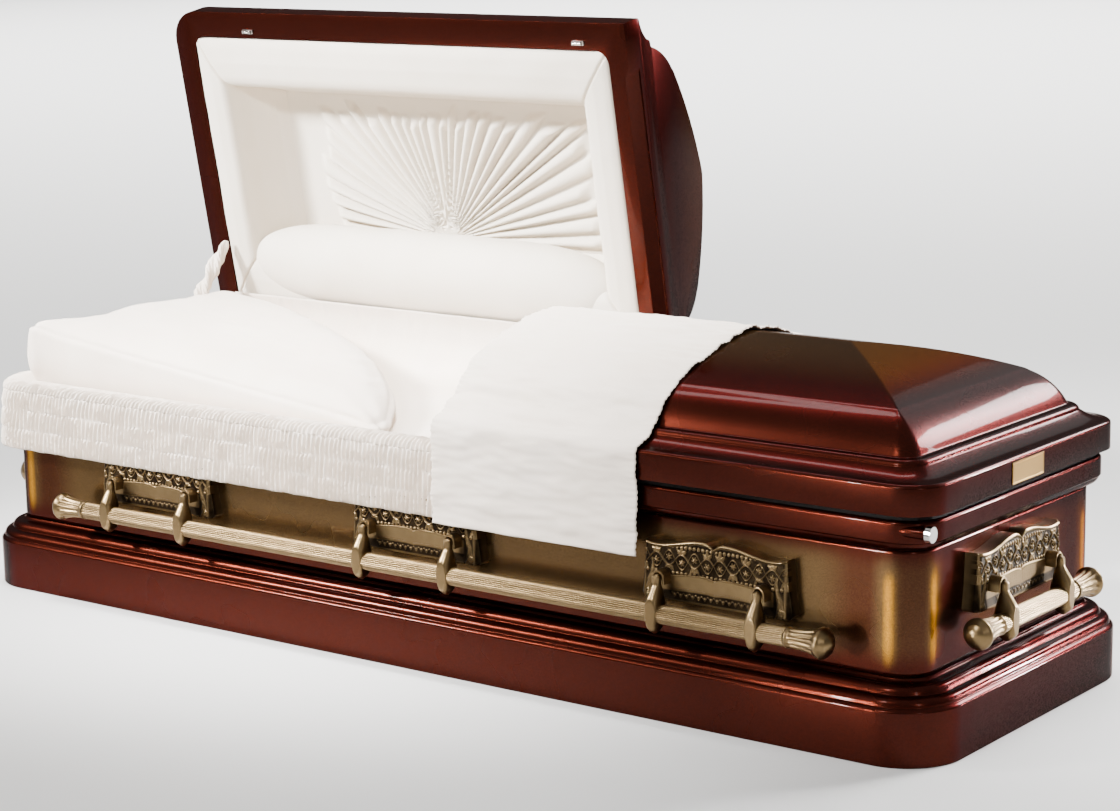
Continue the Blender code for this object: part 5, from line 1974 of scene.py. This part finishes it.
@dataclass
class Studio:
    """The camera, a pale floor and soft lights."""

    eye: tuple[float, float, float] = (3.0671, -3.9307, 1.3902)
    azimuth: float = 37.0126
    pitch: float = 11.1699
    roll: float = -0.878
    focal_px: float = 2785.80
    image_width: float = 1120.0
    sensor_mm: float = 36.0

    def build(self) -> None:
        """Set the camera, the floor and the lights."""
        self.camera()
        self.floor()
        self.lights()

    def camera(self) -> None:
        """The camera that the photograph was taken with."""
        az, pitch, roll = (math.radians(angle) for angle in (self.azimuth, self.pitch, self.roll))
        ahead = Vector((-math.sin(az) * math.cos(pitch), math.cos(az) * math.cos(pitch), -math.sin(pitch)))
        right = Vector((math.cos(az), math.sin(az), 0.0))
        up = right.cross(ahead)
        right, up = right * math.cos(roll) + up * math.sin(roll), up * math.cos(roll) - right * math.sin(roll)
        data = bpy.data.cameras.new("camera")
        data.sensor_fit = "HORIZONTAL"
        data.sensor_width = self.sensor_mm
        data.lens = self.sensor_mm * self.focal_px / self.image_width
        made = linked("camera", data)
        made.matrix_world = Matrix((
            (right.x, up.x, -ahead.x, self.eye[0]),
            (right.y, up.y, -ahead.y, self.eye[1]),
            (right.z, up.z, -ahead.z, self.eye[2]),
            (0.0, 0.0, 0.0, 1.0)))
        bpy.context.scene.camera = made

    def floor(self) -> None:
        """A pale floor that runs past the picture's edges."""
        bm = bmesh.new()
        bmesh.ops.create_grid(bm, x_segments=2, y_segments=2, size=60.0)
        floor = finished("studio_floor", bm)
        paper = bpy.data.materials.new("white_paper_sweep")
        paper.use_nodes = True
        shader = paper.node_tree.nodes["Principled BSDF"]
        for key, value in (("Base Color", linear("#f2f1ef")), ("Roughness", 0.9),
                           ("Specular IOR Level", 0.1)):
            shader.inputs[key].default_value = value
        floor.data.materials.append(paper)

    def lights(self) -> None:
        """Large soft boxes over a bright room."""
        world = bpy.data.worlds.new("studio")
        world.use_nodes = True
        tree = world.node_tree
        back = tree.nodes["Background"]
        back.inputs["Color"].default_value = (1.0, 1.0, 1.0, 1.0)
        way = add(tree, "ShaderNodeTexCoord").outputs["Generated"]
        rise = add(tree, "ShaderNodeSeparateXYZ", None, {0: way}).outputs["Z"]
        glow = add(tree, "ShaderNodeMapRange",
                   {"From Min": 0.0, "From Max": 0.8, "To Min": 0.15, "To Max": 0.52}, {"Value": rise})
        tree.links.new(glow.outputs[0], back.inputs["Strength"])
        bpy.context.scene.world = world
        for name, spot, target, size, spread, power in (
                ("top_box", (-0.6, 0.7, 3.3), (-0.2, 0.0, 0.4), (2.6, 0.30), 120, 26.0),
                ("key_left", (-2.9, -2.6, 2.7), (-0.5, 0.1, 0.6), (0.6, 0.6), 34, 38.0),
                ("front_box", (-0.4, -3.6, 3.2), (-0.3, 0.1, 0.5), (1.6, 0.4), 36, 17.0),
                ("interior", (-0.3, -0.2, 3.4), (-0.3, 0.0, 0.4), (0.9, 0.4), 34, 13.0),
                ("rear_box", (1.3, 3.2, 2.8), (0.9, 0.0, 0.5), (3.0, 1.8), 70, 9.0),
                ("rear_low", (1.95, 2.7, 1.7), (1.0, 0.0, 0.45), (1.3, 0.6), 50, 24.0),
                ("corner_soft", (3.2, -1.7, 1.1), (0.95, -0.3, 0.25), (0.25, 1.0), 90, 1.6),
                ("strip_front", (-0.30, -2.55, 0.36), (0.98, -0.30, 0.22), (0.10, 0.70), 12, 0.9),
                ("strip_end", (2.30, 1.98, 0.36), (0.98, -0.30, 0.22), (0.10, 0.70), 14, 2.0),
                ("backdrop", (-9.0, 14.0, 7.0), (-9.0, 14.0, 0.0), (20.0, 20.0), 180, 7500.0)):
            data = bpy.data.lights.new(name, "AREA")
            data.shape = "RECTANGLE"
            data.size, data.size_y = size
            data.energy = power
            data.spread = math.radians(spread)
            lamp = linked(name, data)
            lamp.location = spot
            lamp.rotation_euler = (Vector(target) - Vector(spot)).to_track_quat("-Z", "Y").to_euler()
            lamp.visible_glossy = name != "backdrop"


def main() -> None:
    """Build the studio and then every sub-assembly of the casket."""
    logging.basicConfig(level=logging.INFO, format="%(name)s: %(message)s")
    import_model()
    Studio().build()
    Body().build()
    for lid in (Lid(Side.HEAD, "head_lid_body"), Lid(Side.FOOT, "foot_lid_body")):
        lid.build()
        LidLining(lid).build()
    kit = Furniture()
    kit.make()
    side_ears, end_ears = (-0.627, 0.0, 0.627), (0.0,)
    for label, spot, turn, ears, length in (("front", (0.030, -0.305, 0.0), 0.0, side_ears, 1.565),
                                            ("back", (0.030, 0.305, 0.0), math.pi, side_ears, 1.565),
                                            ("foot", (1.015, -0.020, 0.010), math.pi / 2, end_ears, 0.250),
                                            ("head", (-1.015, -0.020, 0.010), -math.pi / 2, end_ears, 0.250)):
        Handle(label, Matrix.Translation(spot) @ Matrix.Rotation(turn, 4, "Z"), ears, length, kit).build()
    kit.clear()
    for part in (Fittings(), Bedding(), Skirt(), Throw(), Stay(), Apron()):
        part.build()


if __name__ == "__main__":
    main()
